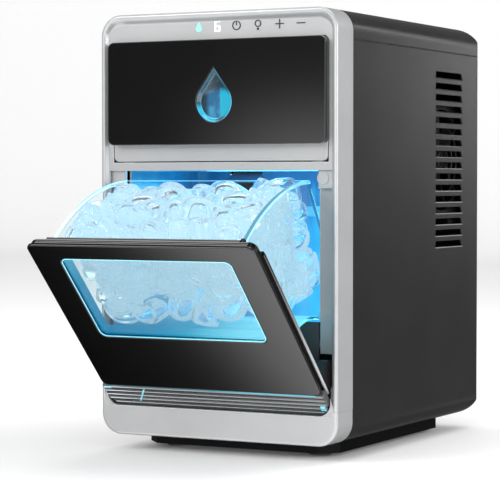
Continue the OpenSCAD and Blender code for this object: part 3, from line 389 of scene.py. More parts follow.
# The strips on the door's sides carry a painted reflection that is paler towards the apron,
# and the apron's ribs a painted highlight that is palest at their left ends.
# The lips of the upper vent slots are black, and those of the lower ones carry a painted highlight.
EDGE_STRIP_REFLECTION = ramped("edge_strip_painted_reflection",
                    lambda tree: fade(tree, place_of(tree, "Z"), CABINET_LOW_Z + 185 * MM,
                                      CABINET_LOW_Z + 70 * MM),
                    [(0.0, (0.01, 0.01, 0.011)), (0.6, (0.16, 0.165, 0.17)), (1.0, (0.42, 0.43, 0.44))],
                    (0.12, 0.2), coat=0.5)
APRON_RIB_HIGHLIGHT = ramped("apron_rib_painted_highlight",
                   lambda tree: mapped(tree, place_of(tree, "X"), 0, 1, -112 * MM, 112 * MM),
                   [(0.0, (0.62, 0.68, 0.72)), (0.12, (0.34, 0.36, 0.38)), (0.4, (0.26, 0.27, 0.28)),
                    (1.0, (0.22, 0.23, 0.24))], (0.15, 0.25))
VENT_LIP_HIGHLIGHT = ramped("vent_lip_painted_highlight",
                  lambda tree: fade(tree, place_of(tree, "Z"), CABINET_LOW_Z + 330 * MM,
                                    CABINET_LOW_Z + 230 * MM),
                  [(0.0, (0.012, 0.012, 0.012)), (1.0, (0.22, 0.22, 0.22))], (0.2, 0.3))

LOOKS = {
    "silver_plastic": SILVER, "black_shell": SHELL, "black_base": BASE_BLACK, "black_gloss": GLOSS,
    "clear_bin": BIN, "clear_window": PANE, "clear_apron": APRON, "drop_blue": DROP, "tank_clear": TANK,
    "liner_white": LINER, "light_blue": LENS, "legend_grey": LEGEND, "legend_white": DIGIT,
    "status_cyan": STATUS, "rubber_black": RUBBER, "steel": STEEL, "black_metal": ENAMEL_AND_SHADE,
    "motor_grey": MOTOR, "copper": COPPER, "circuit_green": BOARD,
    "hose_clear": HOSE, "white_plastic": WHITE,
}


# ---------------------------------------------------------------- mesh helpers

def look_of(node):
    """The node's material: the pedestal and the door's inner frame take the black with painted shade, the door's
    cowl its grey, and the rest follow their slots.
    """
    own = {"pedestal": SHADED_BLACK, "door_inner_frame": SHADED_BLACK, "door_cowl": COWL}
    return own.get(node) or LOOKS[SLOT[node]]


def finish_piece(name, bm, material, body, smooth_angle=32):
    """Turns a bmesh into a piece that rides on a body; material may be a list, by the faces' index."""
    mesh = bpy.data.meshes.new(name)
    bmesh.ops.recalc_face_normals(bm, faces=bm.faces)
    bm.to_mesh(mesh)
    bm.free()
    for used in material if isinstance(material, list) else [material]:
        mesh.materials.append(used)
    mesh.polygons.foreach_set("use_smooth", [True] * len(mesh.polygons))
    mesh.set_sharp_from_angle(angle=math.radians(smooth_angle))
    piece = bpy.data.objects.new(name, mesh)
    bpy.context.scene.collection.objects.link(piece)
    weighted = piece.modifiers.new("even_normals", "WEIGHTED_NORMAL")
    weighted.keep_sharp = True
    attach(piece, body)
    return piece


def clean_copy(node):
    """The node's mesh without its seams and flat-face triangles."""
    bm = bmesh.new()
    bm.from_mesh(NODES[node].data)
    bmesh.ops.remove_doubles(bm, verts=bm.verts, dist=1e-6)
    bmesh.ops.dissolve_limit(bm, angle_limit=math.radians(0.6), verts=bm.verts, edges=bm.edges)
    return bm


def sharp_edges(bm, least=30):
    """The edges whose faces meet at more than least degrees."""
    return [edge for edge in bm.edges if edge.is_manifold and edge.calc_face_angle(0) > math.radians(least)]


def bevel(bm, edges, width, segments):
    if edges:
        bmesh.ops.bevel(bm, geom=edges, offset=width, offset_type="OFFSET", segments=segments,
                        profile=0.5, affect="EDGES", clamp_overlap=True)


def refined(node, width=0.5 * MM, segments=2, broad=None, special=None):
    """A copy of a CAD node with its edges rounded, which stands for the node.

    broad is (test, width, segments): the sharp edges that pass the test are rounded by that width first.
    special is (test, materials): test(face) gives the place of a face's material, 0 for the node's own."""
    bm = clean_copy(node)
    if broad:
        test, broad_width, broad_segments = broad
        bevel(bm, [edge for edge in sharp_edges(bm) if test(edge)], broad_width, broad_segments)
    bevel(bm, sharp_edges(bm), width, segments)
    looks = [look_of(node)]
    if special:
        test, *materials = special
        looks += materials
        bmesh.ops.recalc_face_normals(bm, faces=bm.faces)
        for face in bm.faces:
            face.material_index = int(test(face))
    piece = finish_piece(node + "_finished", bm, looks, OWNER[node])
    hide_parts(node)
    return piece


def door_point(x, y, z):
    """A point given with the door closed, moved to where the open door has it."""
    turn = Matrix.Rotation(OPEN_ANGLE, 3, "X")
    return HINGE + turn @ (Vector((x, y, z)) - HINGE)


def shut_point(point):
    """Where a point of the open door is with the door closed."""
    return HINGE + Matrix.Rotation(-OPEN_ANGLE, 3, "X") @ (point - HINGE)


def rounded_loop(half_w, low_z, high_z, radius, steps=10):
    """Points round a rectangle with round corners, in x and z, counter-clockwise from the lower right."""
    corners = [(half_w - radius, low_z + radius, -90), (half_w - radius, high_z - radius, 0),
               (-half_w + radius, high_z - radius, 90), (-half_w + radius, low_z + radius, 180)]
    loop = []
    for x, z, start in corners:
        for step in range(steps + 1):
            angle = math.radians(start + 90 * step / steps)
            loop.append((x + radius * math.cos(angle), z + radius * math.sin(angle)))
    return loop


def bridge_loops(bm, rings):
    """Quads between each ring of vertices and the next."""
    for near, far in zip(rings, rings[1:]):
        for i in range(len(near)):
            j = (i + 1) % len(near)
            bm.faces.new((near[i], near[j], far[j], far[i]))


def loft(bm, rings):
    """Quads from ring to ring, with a face over each end."""
    bridge_loops(bm, rings)
    for end in (rings[0], rings[-1]):
        bm.faces.new(end)


def rod(bm, stations, section, around=8):
    """A rod through the stations; section(station, angle) gives a point of the ring there."""
    loft(bm, [[bm.verts.new(section(station, math.tau * step / around)) for step in range(around)]
              for station in stations])


# ---------------------------------------------------------------- bezel

def bezel_profile(slope_reach):
    """The rim's section as (distance in from the outside, depth behind the front), back to front to inside.

    A rounded outer edge and a narrow crest lead to a soft slope that meets the fascia at slope_reach."""
    outer_r = 2.6 * MM
    crest = 3.4 * MM
    steps = 6
    fascia_depth = FASCIA_Y - FRONT_Y
    rim = HALF_W - FASCIA_HALF
    points = [(0, BEZEL_DEPTH)]
    for step in range(steps + 1):
        angle = math.radians(90 * step / steps)
        points.append((outer_r * (1 - math.cos(angle)), outer_r * (1 - math.sin(angle))))
    for step in range(steps + 1):
        part = step / steps
        points.append((crest + (slope_reach - crest) * part, fascia_depth * part * part * (3 - 2 * part)))
    points.append((rim, fascia_depth + 0.05 * MM))
    points.append((rim, BEZEL_DEPTH))
    return points


def make_bezel():
    """The silver rim: one section swept up one side, round the top and down the other."""
    side_reach = HALF_W - FASCIA_HALF + 0.4 * MM
    top_reach = 11.0 * MM
    corner_steps = 14
    path = [(HALF_W, BEZEL_LOW.z, 0)]
    for centre_x, start in ((HALF_W - EDGE_R, 0), (-HALF_W + EDGE_R, 90)):
        for step in range(corner_steps + 1):
            path.append((centre_x, CABINET_TOP_Z - EDGE_R, start + 90 * step / corner_steps))
    path.append((-HALF_W, BEZEL_LOW.z, 180))
    bm = bmesh.new()
    columns = []
    for index, (x, z, heading) in enumerate(path):
        angle = math.radians(heading)
        reach = side_reach + (top_reach - side_reach) * math.sin(angle) ** 2
        column = []
        for inset, depth in bezel_profile(reach):
            if index in (0, len(path) - 1):
                side = 1 if index == 0 else -1
                spot = (x - side * inset, FRONT_Y + depth, z)
            else:
                radius = EDGE_R - inset
                spot = (x + radius * math.cos(angle), FRONT_Y + depth, z + radius * math.sin(angle))
            column.append(bm.verts.new(spot))
        columns.append(column)
    loft(bm, columns)
    piece = finish_piece("front_bezel_finished", bm, SILVER, OWNER["front_bezel"])
    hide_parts("front_bezel")


def make_trim_corners():
    """Webs that round the lower corners of the front opening."""
    radius = 12 * MM
    overlap = 4 * MM
    front, back = FRONT_Y + 0.2 * MM, FRONT_Y + 3.3 * MM
    steps = 8
    floor_z = CABINET_LOW_Z + 28.8 * MM
    bm = bmesh.new()
    for side in (-1, 1):
        outline = [(side * FASCIA_HALF, floor_z + radius + 5 * MM),
                   (side * (FASCIA_HALF + overlap), floor_z + 6 * MM),
                   (side * (FASCIA_HALF + overlap), floor_z), (side * FASCIA_HALF, floor_z)]
        for step in range(steps + 1):
            angle = math.radians(90 - 90 * step / steps)
            outline.append((side * (FASCIA_HALF - radius * (1 - math.cos(angle))),
                            floor_z + radius * (1 - math.sin(angle))))
        loft(bm, [[bm.verts.new((x, y, z)) for x, z in outline] for y in (front, back)])
    finish_piece("trim_corner_webs", bm, SILVER, OWNER["lower_front_trim"])


def make_jambs():
    """Jambs beside the mouth, hollowed so that they meet the rim in a soft curve."""
    low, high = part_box("door_jambs")
    inner = 105 * MM
    hollow = 2.6 * MM
    steps = 10
    bm = bmesh.new()
    for side in (-1, 1):
        outline = [(inner, high.y)]
        for step in range(steps + 1):
            part = step / steps
            outline.append((inner + (high.x - inner) * part, low.y - hollow * part * part))
        outline.append((high.x, high.y))
        loft(bm, [[bm.verts.new((side * x, y, z)) for x, y in outline] for z in (low.z, high.z)])
    bevel(bm, sharp_edges(bm, 60), 0.5 * MM, 2)
    piece = finish_piece("door_jambs_finished", bm, SILVER, OWNER["door_jambs"])
    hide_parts("door_jambs")


def make_lower_trim():
    """The lower trim, with the bezel's own rounding along its outer front edge."""
    near = 0.3 * MM

    def is_outer_front(edge):
        on_front = all(abs(v.co.y - FRONT_Y) < near for v in edge.verts)
        side = all(abs(abs(v.co.x) - HALF_W) < near for v in edge.verts)
        low = all(v.co.z < CABINET_LOW_Z + EDGE_R + near and v.co.z < TRIM_HIGH.z - near for v in edge.verts)
        return on_front and (side or low)

    refined("lower_front_trim", 0.8 * MM, 3, (is_outer_front, 3.0 * MM, 6))


# ---------------------------------------------------------------- ice

def ice_nugget(rng, bm, centre, size):
    """One clear nugget: a hollow bullet or block of ice with a domed end, bent and melted a little."""
    around = 14
    dome_rings = 6
    radius = size * rng.uniform(0.42, 0.52)
    length = size * rng.uniform(0.85, 1.25)
    wall = radius * rng.uniform(0.30, 0.45)
    squareness = rng.choice((2.0, 2.3, 3.2, 4.5))
    squash = rng.uniform(0.75, 1.0)
    heading, roll = rng.uniform(0, math.tau), rng.uniform(0, math.tau)
    turn = Matrix.Rotation(heading, 3, "Z") @ Matrix.Rotation(roll, 3, "X")
    seed = Vector((rng.uniform(0, 90), rng.uniform(0, 90), rng.uniform(0, 90)))
    dome = min(radius, length * 0.6)
    profile = []
    for step in range(1, dome_rings):
        angle = math.radians(90 * step / (dome_rings - 1))
        profile.append((radius * math.sin(angle), -length / 2 + dome * (1 - math.cos(angle))))
    profile += [(radius * 1.03, length / 2 - wall / 2), (radius * 0.95, length / 2),
                (radius - wall, length / 2 - wall / 3), (radius - wall, 0),
                (radius * 0.25, -length / 2 + dome * 0.45)]
    loops = []
    for reach, height in profile:
        loop = []
        for i in range(around):
            angle = math.tau * i / around
            c, s = math.cos(angle), math.sin(angle)
            stretch = (abs(c) ** squareness + abs(s) ** squareness) ** (-1 / squareness)
            point = Vector((reach * stretch * c, squash * reach * stretch * s, height))
            point += noise.noise_vector(point / size * 1.7 + seed) * size * 0.09
            loop.append(bm.verts.new(centre + turn @ point))
        loops.append(loop)
    loft(bm, loops)
    keep_in_bin([vert for loop in loops for vert in loop])


def bin_back(z):
    """Where the bin's rear wall is at a height, given with the door closed."""
    return BIN_BACK_Y + BIN_BACK_LEAN * max(0, z - BIN_FLOOR_Z)


def hinge_reach(point):
    """A point's distance from the hinge's axis."""
    return Vector((point.y - HINGE.y, point.z - HINGE.z)).length


def keep_in_bin(verts):
    """Moves a nugget's points in from the bin's walls, and under the arc that clears the cavity's roof."""
    gap = 0.4 * MM
    wall_x = BIN_HALF - 4.9 * MM
    roof_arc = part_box("cavity_liner")[1].z - 4.5 * MM - HINGE.z
    shut = [shut_point(vert.co) for vert in verts]
    middle = sum(shut, Vector()) / len(shut)
    outward = Vector((0, middle.y - HINGE.y, middle.z - HINGE.z)).normalized()
    radii = [hinge_reach(spot) for spot in shut]
    move = outward * (min(0, roof_arc - max(radii)) + max(0, BIN_ARC_R + gap - min(radii)))
    shut = [spot + move for spot in shut]
    forward = max(spot.y - bin_back(spot.z) + gap for spot in shut)
    backward = max(BIN_FRONT_Y + gap - spot.y for spot in shut)
    move_y = max(0, backward) - max(0, forward)
    move_x = min(0, wall_x - max(spot.x for spot in shut)) + max(0, -wall_x - min(spot.x for spot in shut))
    for vert, spot in zip(verts, shut):
        vert.co = door_point(spot.x + move_x, spot.y + move_y, spot.z)


def inside_bin(point, margin):
    """Whether a point, given with the door closed, is inside the bin's side outline."""
    return (BIN_FRONT_Y + margin < point.y < bin_back(point.z) - margin
            and hinge_reach(point) > BIN_ARC_R + margin and point.z > BIN_FLOOR_Z + margin * 0.7)


def shut_arc_point(x, reach, turn):
    """The point at a distance and an angle from the hinge, given with the door closed."""
    return HINGE + Vector((x, reach * math.sin(turn), reach * math.cos(turn)))


def heap_ice(rng, bm, half, heap_r):
    """Nuggets in layers about the hinge, each layer's rows shifted against its neighbours'."""
    pitch = 28 * MM
    row_pitch = pitch * 0.96
    jitter = 0.2 * pitch
    peak = 4 * MM
    top_reach = heap_r - 17 * MM
    heap_angle = math.radians(100)
    for layer in range(5):
        reach = top_reach - layer * pitch * 0.80
        for step in range(int(heap_angle * reach / row_pitch)):
            angle = (step + 0.5 * (layer % 2)) * row_pitch / reach
            for column in range(-4, 5):
                shift = 0.5 * ((layer + step) % 2)
                size = rng.uniform(30, 38) * MM
                rise = rng.uniform(-peak, peak) if layer == 0 else rng.uniform(-jitter, jitter)
                turn = angle + rng.uniform(-jitter, jitter) / reach
                x = (column + shift) * pitch * 1.03 + rng.uniform(-jitter, jitter)
                limit = half - size * 0.40
                if abs(x) < limit + pitch * 0.55:
                    x = max(-limit, min(limit, x))
                shut = shut_arc_point(x, reach + rise, turn)
                if abs(x) <= limit and inside_bin(shut, size * 0.38):
                    ice_nugget(rng, bm, door_point(*shut), size)


def fill_walls(rng, bm, half, heap_r):
    """Smaller nuggets that fill the gaps along the bin's side walls, most of them on the left."""
    least_reach = 100 * MM
    for _ in range(150):
        size = rng.uniform(20, 28) * MM
        turn = rng.uniform(0.05, 1.0)
        reach = rng.uniform(least_reach, heap_r - size * 0.3)
        side = rng.choice((-1, -1, -1, 1))
        x = side * (half - size * rng.uniform(0.36, 0.8))
        shut = shut_arc_point(x, reach, turn)
        if inside_bin(shut, size * 0.4):
            ice_nugget(rng, bm, door_point(*shut), size)


def make_ice():
    """Ice heaped in the bin, under the arc that clears the cavity's roof."""
    seed = 5
    rng = random.Random(seed)
    noise.seed_set(seed)
    bm = bmesh.new()
    half = BIN_HALF - 4.5 * MM
    heap_r = 206 * MM
    heap_ice(rng, bm, half, heap_r)
    fill_walls(rng, bm, half, heap_r)
    piece = finish_piece("ice_nuggets", bm, ICE, OWNER["ice_bin"], 75)
    smooth = piece.modifiers.new("melted", "SUBSURF")
    smooth.levels = 1
    smooth.render_levels = 1
    piece.modifiers.move(len(piece.modifiers) - 1, 0)


# ---------------------------------------------------------------- door details

def door_outline(half, low_z, high_z, radius, steps=8):
    """Up the right side of the door, round its top corners and down the left, with outward directions."""
    path = [(half, low_z, 1, 0)]
    for centre_x, start in ((half - radius, 0), (-half + radius, 90)):
        for step in range(steps + 1):
            angle = math.radians(start + 90 * step / steps)
            path.append((centre_x + radius * math.cos(angle), high_z - radius + radius * math.sin(angle),
                         math.cos(angle), math.sin(angle)))
    path.append((-half, low_z, -1, 0))
    return path


def make_door_ribs():
    """Fine ribs that run up the door's sides and over its top, and two more along its top."""
    half = 117 * MM
    wide, thick = 0.9 * MM, 0.7 * MM
    path = door_outline(half, PLATE_LOW_Z + 4 * MM, DOOR_TOP_Z - 2 * MM, WINDOW_R)
    bm = bmesh.new()
    for y in (0.7, 2.5, 4.3):
        def round_edge(station, angle):
            x, z, out_x, out_z = station
            out = 0.2 * MM + wide * math.cos(angle)
            return door_point(x + out * out_x, FRONT_Y + y * MM + thick * math.sin(angle), z + out * out_z)

        rod(bm, path, round_edge)
    for y in (6.1, 7.9):
        def along_top(x, angle):
            return door_point(x, FRONT_Y + y * MM + thick * math.sin(angle),
                              DOOR_TOP_Z - 2.6 * MM + wide * math.cos(angle))

        rod(bm, (-half + 16 * MM, half - 16 * MM), along_top)
    finish_piece("door_edge_ribs", bm, GLOSS, OWNER["door_inner_frame"])


def make_edge_strips():
    """Strips along the back edge of the door's sides, with a painted reflection that is paler towards the apron.
    """
    heights = (PLATE_LOW_Z - 10 * MM, PLATE_LOW_Z + 60 * MM, DOOR_TOP_Z - 24 * MM, DOOR_TOP_Z - 20 * MM)
    middle_x, middle_y = 117.2 * MM, FRONT_Y + 8.6 * MM
    wide, thick = 1.5 * MM, 1.7 * MM
    bm = bmesh.new()
    for side in (-1, 1):
        def up_side(z, angle):
            return door_point(side * (middle_x + wide * math.cos(angle)),
                              middle_y + thick * math.sin(angle), z)

        rod(bm, heights, up_side, around=10)
    finish_piece("door_edge_strips", bm, EDGE_STRIP_REFLECTION, OWNER["door_apron"])


def make_window_rim():
    """A thin glowing line where the pane meets the face plate: a painted highlight on the pane's edge."""
    bm = bmesh.new()
    rings = []
    front = DOOR_FRONT_Y + 0.25 * MM
    back = DOOR_FRONT_Y + 0.6 * MM
    for inset, y in ((0.05, front), (0.7, front), (0.7, back), (0.05, back)):
        inset *= MM
        loop = rounded_loop(WINDOW_HALF - inset, WINDOW_LOW_Z + inset, WINDOW_HIGH_Z - inset,
                            WINDOW_R - inset)
        rings.append([bm.verts.new(door_point(x, y, z)) for x, z in loop])
    rings.append(rings[0])
    bridge_loops(bm, rings)
    finish_piece("window_rim_highlight", bm, RIM_LIGHT, OWNER["door_window"])


def door_bar(bm, x_range, y_range, z_range, edge=0.3 * MM):
    """A bar with bevelled edges, given with the door closed."""
    x0, x1 = x_range
    y0, y1 = y_range
    z0, z1 = z_range
    corners = [(y0, z0 + edge), (y0 + edge, z0), (y1 - edge, z0), (y1, z0 + edge),
               (y1, z1 - edge), (y1 - edge, z1), (y0 + edge, z1), (y0, z1 - edge)]
    loft(bm, [[bm.verts.new(door_point(x, y, z)) for y, z in corners] for x in (x0, x1)])


def leaning_bar(bm, x, lean, width, y_range, z_range):
    """An upright bar whose top leans over by lean, given with the door closed."""
    foot, top = z_range
    corners = [(x, foot), (x + width, foot), (x + width + lean, top), (x + lean, top)]
    loft(bm, [[bm.verts.new(door_point(across, y, up)) for across, up in corners] for y in y_range])


def make_apron_ribs():
    """Fine ribs along the front of the apron, cut off by its rounded lower corners; their pale colour is a painted
    highlight.
    """
    corner_r = 14 * MM
    rib_r = 0.55 * MM
    pitch = 5.4 * MM
    bottom = PLATE_LOW_Z - APRON_H
    lowest = bottom + 3.2 * MM
    bm = bmesh.new()
    for step in range(5):
        z = lowest + step * pitch
        drop = max(0.0, bottom + corner_r - z)
        reach = APRON_HALF - corner_r + math.sqrt(corner_r ** 2 - drop ** 2) - 0.6 * MM

        def along_front(x, angle):
            return door_point(x, DOOR_FRONT_Y + 0.15 * MM + rib_r * math.cos(angle),
                              z + rib_r * math.sin(angle))

        rod(bm, (-reach, reach), along_front)
    finish_piece("apron_ribs", bm, APRON_RIB_HIGHLIGHT, OWNER["door_apron"])


def make_apron_lights():
    """Light that leaves the clear apron: along its seam with the door plate, and at its ends."""
    def below(depth):
        return PLATE_LOW_Z - depth * MM

    body, slot = OWNER["door_apron"], SLOT["door_apron"]
    bm = bmesh.new()
    door_bar(bm, (-113 * MM, 112 * MM), (DOOR_FRONT_Y - 0.15 * MM, DOOR_FRONT_Y + 3 * MM),
             (below(1.5), below(0.05)))
    finish_piece("apron_seam_light", bm, SEAM_LIGHT, body)
    bm = bmesh.new()
    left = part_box("door_apron")[0].x
    front = (DOOR_FRONT_Y - 0.1 * MM, DOOR_FRONT_Y + 2 * MM)
    door_bar(bm, (-left - 8 * MM, -left - 3 * MM), front, (below(22), below(15)), 1.2 * MM)
    leaning_bar(bm, left + 34 * MM, 10 * MM, 1.6 * MM, front, (below(21), below(5)))
    door_bar(bm, (left + 1 * MM, left + 8 * MM), front, (below(5), below(2)), 0.8 * MM)
    finish_piece("apron_end_lights", bm, SPOT_LIGHT, body)


# ---------------------------------------------------------------- drop

def drop_loop(width, height, scale, y, steps=40):
    """The drop's outline with its point up: a round bottom and two straight sides to the point."""
    low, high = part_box("drop_window")
    centre_z = (low.z + high.z) / 2
    radius = width / 2
    reach = height - radius
    lean = math.acos(radius / reach)
    ball_z = centre_z + radius - height / 2
    sweep = math.tau - 2 * lean
    loop = [(0, ball_z + reach)]
    for step in range(steps + 1):
        angle = math.pi / 2 + lean + sweep * step / steps
        loop.append((radius * math.cos(angle), ball_z + radius * math.sin(angle)))
    return [Vector((x * scale, y, ball_z + (z - ball_z) * scale)) for x, z in loop]


def make_drop():
    """The drop window: a bevelled rim that dips to a flat face, behind a clear front."""
    low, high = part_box("drop_window")
    width, height = high.x - low.x, high.z - low.z
    bm = bmesh.new()
    levels = [(0.995, high.y), (0.995, low.y + 0.1 * MM), (0.97, low.y - 0.2 * MM), (0.93, low.y),
              (0.86, low.y + 2.2 * MM), (0.80, low.y + 3.0 * MM)]
    rings = [[bm.verts.new(spot) for spot in drop_loop(width, height, scale, y)] for scale, y in levels]
    bridge_loops(bm, rings)
    for face in bm.faces:
        face.material_index = 1
    bm.faces.new(rings[0])
    bm.faces.new(rings[-1])
    piece = finish_piece("drop_window_finished", bm, [DROP, DROP_RIM], OWNER["drop_window"],
                         50)
    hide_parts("drop_window")


# ---------------------------------------------------------------- cavity

def is_slot_foot(edge):
    """Whether an edge is the outer lower edge of one of the right panel's slots."""
    outside = all(abs(v.co.x - HALF_W) < 0.4 * MM for v in edge.verts)
    level = abs(edge.verts[0].co.z - edge.verts[1].co.z) < 0.2 * MM
    in_vents = all(CABINET_LOW_Z + 150 * MM < v.co.z < CABINET_LOW_Z + 395 * MM for v in edge.verts)
    return outside and level and in_vents and any(face.normal.z > 0.9 for face in edge.link_faces)


def make_vent_lips():
    """A fine rounded lip along the foot of each of the right panel's slots, with a painted highlight on the lower
    ones.
    """
    lip_r = 0.55 * MM
    inward, down = 0.25 * MM, 0.3 * MM
    source = clean_copy("side_panel_right")
    feet = [tuple(sorted((v.co.copy() for v in edge.verts), key=lambda spot: spot.y))
            for edge in source.edges if is_slot_foot(edge)]
    source.free()
    bm = bmesh.new()
    for ends in feet:
        def along_foot(spot, angle):
            return (spot.x - inward + lip_r * math.cos(angle), spot.y,
                    spot.z - down + lip_r * math.sin(angle))

        rod(bm, ends, along_foot)
    finish_piece("vent_slot_lips", bm, VENT_LIP_HIGHLIGHT, OWNER["side_panel_right"])


def make_ledge():
    """A raised band round the cavity's walls."""
    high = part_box("cavity_liner")[1]
    wall = 2 * MM
    half = high.x - wall
    back = high.y - wall
    thick = 1.1 * MM
    z0, z1 = CABINET_LOW_Z + 213 * MM, CABINET_LOW_Z + 223 * MM
    chamfer = 0.8 * MM
    front = FRONT_Y + 17 * MM
    path = [(-half, front), (-half, back), (half, back), (half, front)]
    inward = [(1, 0), (1, -1), (-1, -1), (-1, 0)]
    section = [(0, z0), (thick, z0 + chamfer), (thick, z1 - chamfer), (0, z1)]
    bm = bmesh.new()
    loft(bm, [[bm.verts.new((x + in_x * out, y + in_y * out, z)) for out, z in section]
              for (x, y), (in_x, in_y) in zip(path, inward)])
    finish_piece("cavity_ledge", bm, LEDGE, OWNER["cavity_liner"])


def faces_inward(face):
    """Whether a face of the liner looks into the cavity."""
    low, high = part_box("cavity_liner")
    middle = (low + high) / 2
    return face.normal.dot(middle - face.calc_center_median()) > 0


def is_bin_rim(face):
    """Whether a face is on the band along the bin's upper edge."""
    band_r = 199.6 * MM
    return all(hinge_reach(v.co) > band_r for v in face.verts)


def lit_bin_part(face):
    """Which of the bin's looks a face takes: 0 its clear wall, 1 its lit rim, 2 the lit sill."""
    sill_r = 78 * MM
    if all(hinge_reach(v.co) < sill_r for v in face.verts):
        return 2
    return 1 if is_bin_rim(face) else 0


def is_tray_wall(face):
    """Whether a face of the window lines the opening behind the pane."""
    shut = shut_point(face.calc_center_median())
    inside = 0.3 * MM
    behind_pane = shut.y > DOOR_FRONT_Y + 3.4 * MM
    within = (abs(shut.x) < WINDOW_HALF - inside and WINDOW_LOW_Z + inside < shut.z < WINDOW_HIGH_Z - inside)
    near_edge = (abs(shut.x) > WINDOW_HALF - 4 * MM or shut.z < WINDOW_LOW_Z + 4 * MM
                 or shut.z > WINDOW_HIGH_Z - 4 * MM)
    return behind_pane and within and near_edge


# ---------------------------------------------------------------- stage

def make_floor():
    """A pale floor that curves up into a backdrop far behind the object, with a painted shadow at its front left.
    """
    bm = bmesh.new()
    half = 6.0
    radius = 1.5
    before, behind = -5.0, 4.5
    backdrop_h = 7.0
    steps = 16
    line = [(before, 0.0), (behind, 0.0)]
    for step in range(1, steps + 1):
        angle = math.radians(90 * step / steps)
        line.append((behind + radius * math.sin(angle), radius * (1 - math.cos(angle))))
    line.append((behind + radius, backdrop_h))
    rings = [[bm.verts.new((x, y, z)) for y, z in line] for x in (-half, half)]
    for i in range(len(line) - 1):
        bm.faces.new((rings[0][i], rings[1][i], rings[1][i + 1], rings[0][i + 1]))
    mesh = bpy.data.meshes.new("studio_floor")
    bm.to_mesh(mesh)
    bm.free()
    mesh.polygons.foreach_set("use_smooth", [True] * len(mesh.polygons))
    white, grey = (0.90, 0.90, 0.90), (0.66, 0.66, 0.66)
    paper = surface("studio_white", white, (0.92, 0.92, 0.92), (0.5, 0.55), grain=200,
                    grain_depth=0.001 * MM)
    tree = paper.node_tree
    # Painted shadow: the floor turns grey in front of the object and to its left.
    painted_shadow = combine(tree, "MULTIPLY", fade(tree, place_of(tree, "X"), 0.15, -0.30),
                        fade(tree, place_of(tree, "Y"), 0.35, -0.35))
    shade = paint(tree, white, painted_shadow, grey)
    shader = tree.nodes["Principled BSDF"]
    tree.links.new(shade, shader.inputs["Base Color"])
    shader.inputs["Emission Color"].default_value = (1, 1, 1, 1)
    shader.inputs["Emission Strength"].default_value = 0.05
    mesh.materials.append(paper)
    floor = bpy.data.objects.new("studio_floor", mesh)
    floor.visible_glossy = False
    bpy.context.scene.collection.objects.link(floor)


def area_light(name, place, aim, size, power, colour=(1, 1, 1), shape="SQUARE"):
    data = bpy.data.lights.new(name, "AREA")
    data.energy = power
    data.color = colour
    data.shape = shape
    data.size = size[0]
    if shape == "RECTANGLE":
        data.size_y = size[1]
    lamp = bpy.data.objects.new(name, data)
    lamp.location = place
    lamp.rotation_euler = (Vector(aim) - Vector(place)).to_track_quat("-Z", "Y").to_euler()
    lamp.visible_camera = False
    lamp.visible_transmission = False
    bpy.context.scene.collection.objects.link(lamp)
    return lamp


def make_lights():
    """Soft white lights round the object, and the two blue ones of the cavity and the bin."""
    middle = (0, FRONT_Y + 0.15, 0.22)
    area_light("key", (-1.6, -2.6, 1.9), middle, (1.6,), 52)
    area_light("front_card", (0.5, -3.2, 0.7), middle, (2.0,), 26)
    area_light("right_card", (2.6, -0.3, 0.9), middle, (1.2,), 30)
    area_light("top_card", (0.2, 0.4, 2.4), middle, (2.2,), 28)
    blue = (0.12, 0.62, 1.0)
    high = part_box("cavity_liner")[1]
    area_light("cavity_blue", (0, high.y - 0.02, high.z - 0.04), (0, FRONT_Y - 0.1, HINGE.z + 0.12),
               (0.16, 0.05), 0.35, blue, "RECTANGLE")
    area_light("under_ice_blue", (0, FRONT_Y + 0.075, HINGE.z + 0.06), (0, FRONT_Y - 0.06, HINGE.z + 0.17),
               (0.18, 0.05), 0.28, blue, "RECTANGLE")
    make_world()
    bpy.context.scene.view_settings.view_transform = "Standard"


def gloss_room(tree):
    """What gloss reflects: a dark room, with a broad light in front and a narrow one on the right."""
    coords = tree.nodes.new("ShaderNodeTexCoord")
    split = tree.nodes.new("ShaderNodeSeparateXYZ")
    tree.links.new(coords.outputs["Generated"], split.inputs["Vector"])

    def between(axis, start, end, low, high):
        return fade(tree, split.outputs[axis], start, end, low, high)

    def product(*factors):
        made = factors[0]
        for factor in factors[1:]:
            made = combine(tree, "MULTIPLY", made, factor)
        return made

    def total(left, right):
        return combine(tree, "ADD", left, right)

    dark_room = between("Z", -0.7, -0.2, 0.01, 0.14)
    # The front light's left edge leans, and leans more for what looks down.
    slant = product(split.outputs["Y"], between("Z", -0.7, -0.3, -0.73, 0.0))
    across = total(total(split.outputs["X"], between("Z", -0.7, -0.1, 0.038, 0.015)), slant)
    front_light = product(fade(tree, across, -0.492, -0.43, 0.0, 2.05), between("Y", 0.1, 0.5, 1.0, 0.0),
                          between("Z", -0.7, -0.1, 1.0, 0.85), between("Z", 0.01, 0.055, 1.0, 0.02))
    rear_light = product(between("X", 0.33, 0.355, 0.0, 3.2), between("X", 0.385, 0.36, 0.0, 1.0),
                         between("Y", 0.5, 0.8, 0.0, 1.0), between("Z", -0.06, 0.08, 0.0, 1.0))
    return total(total(front_light, rear_light), dark_room)


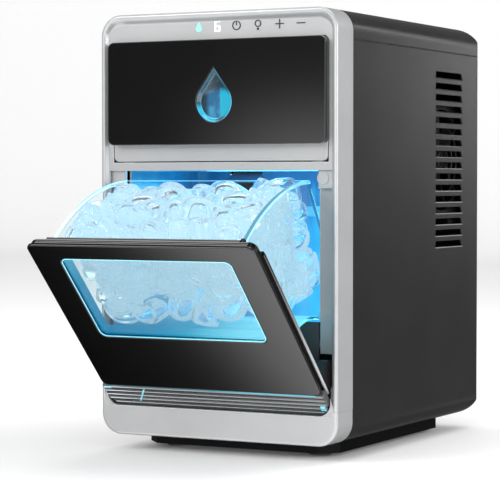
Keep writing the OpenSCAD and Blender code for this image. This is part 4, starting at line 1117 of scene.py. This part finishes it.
def make_world():
    """White studio air, which gloss sees as the dark room with its lights."""
    world = bpy.data.worlds.new("studio")
    world.use_nodes = True
    tree = world.node_tree
    path = tree.nodes.new("ShaderNodeLightPath")
    strength = tree.nodes.new("ShaderNodeMix")
    strength.inputs["A"].default_value = 1.0
    tree.links.new(path.outputs["Is Glossy Ray"], strength.inputs["Factor"])
    tree.links.new(gloss_room(tree), strength.inputs["B"])
    sky = tree.nodes["Background"]
    sky.inputs["Color"].default_value = (1, 1, 1, 1)
    tree.links.new(strength.outputs["Result"], sky.inputs["Strength"])
    bpy.context.scene.world = world


def make_camera():
    """The camera stands off the right front corner and looks almost level."""
    yaw = math.radians(28.04)
    pitch = math.radians(1.586)
    distance = 1.9686
    aim = Vector((0.0371, FRONT_Y, CABINET_LOW_Z + 0.1909))
    lens_mm, sensor_mm = 149.82, 36
    data = bpy.data.cameras.new("camera")
    data.lens = lens_mm
    data.sensor_width = sensor_mm
    camera = bpy.data.objects.new("camera", data)
    away = Vector((math.sin(yaw) * math.cos(pitch), -math.cos(yaw) * math.cos(pitch), math.sin(pitch)))
    camera.location = aim + away * distance
    camera.rotation_euler = (math.pi / 2 - pitch, 0, yaw)
    bpy.context.scene.collection.objects.link(camera)
    bpy.context.scene.camera = camera


# ---------------------------------------------------------------- build

make_camera()
make_floor()
make_lights()

for node, carried in NODES.items():
    carried.data.materials.clear()
    carried.data.materials.append(look_of(node))

make_bezel()
make_lower_trim()
make_trim_corners()
make_jambs()
# The width of each node's rounded edges, in millimetres.
EDGE_MM = {
    "front_fascia": 0.6, "drawer_front": 0.8, "side_panel_left": 0.5, "rear_panel": 0.4, "top_cover": 0.5,
    "pedestal": 1.0, "door_cowl": 0.8, "hinge_arms": 1.2, "door_face_plate": 1.2, "door_inner_frame": 0.8,
    "drawer_face_plate": 1.2, "door_apron": 0.45, "rubber_feet": 0.8, "cord_gland": 0.6, "water_tank": 0.5,
    "door_catches": 0.15, "latch_stud": 0.8,
}
for node, width in EDGE_MM.items():
    refined(node, width * MM, 3)
refined("side_panel_right", 0.4 * MM, 3)
refined("cavity_liner", 0.5 * MM, 2, special=(faces_inward, LINER_LIT))
refined("ice_bin", 0.6 * MM, 2, special=(lit_bin_part, BIN_RIM, TRAY))
refined("door_window", 0.2 * MM, 1, special=(is_tray_wall, TRAY))
make_vent_lips()
make_ledge()
make_drop()
make_window_rim()
make_door_ribs()
make_edge_strips()
make_apron_lights()
make_apron_ribs()
make_ice()
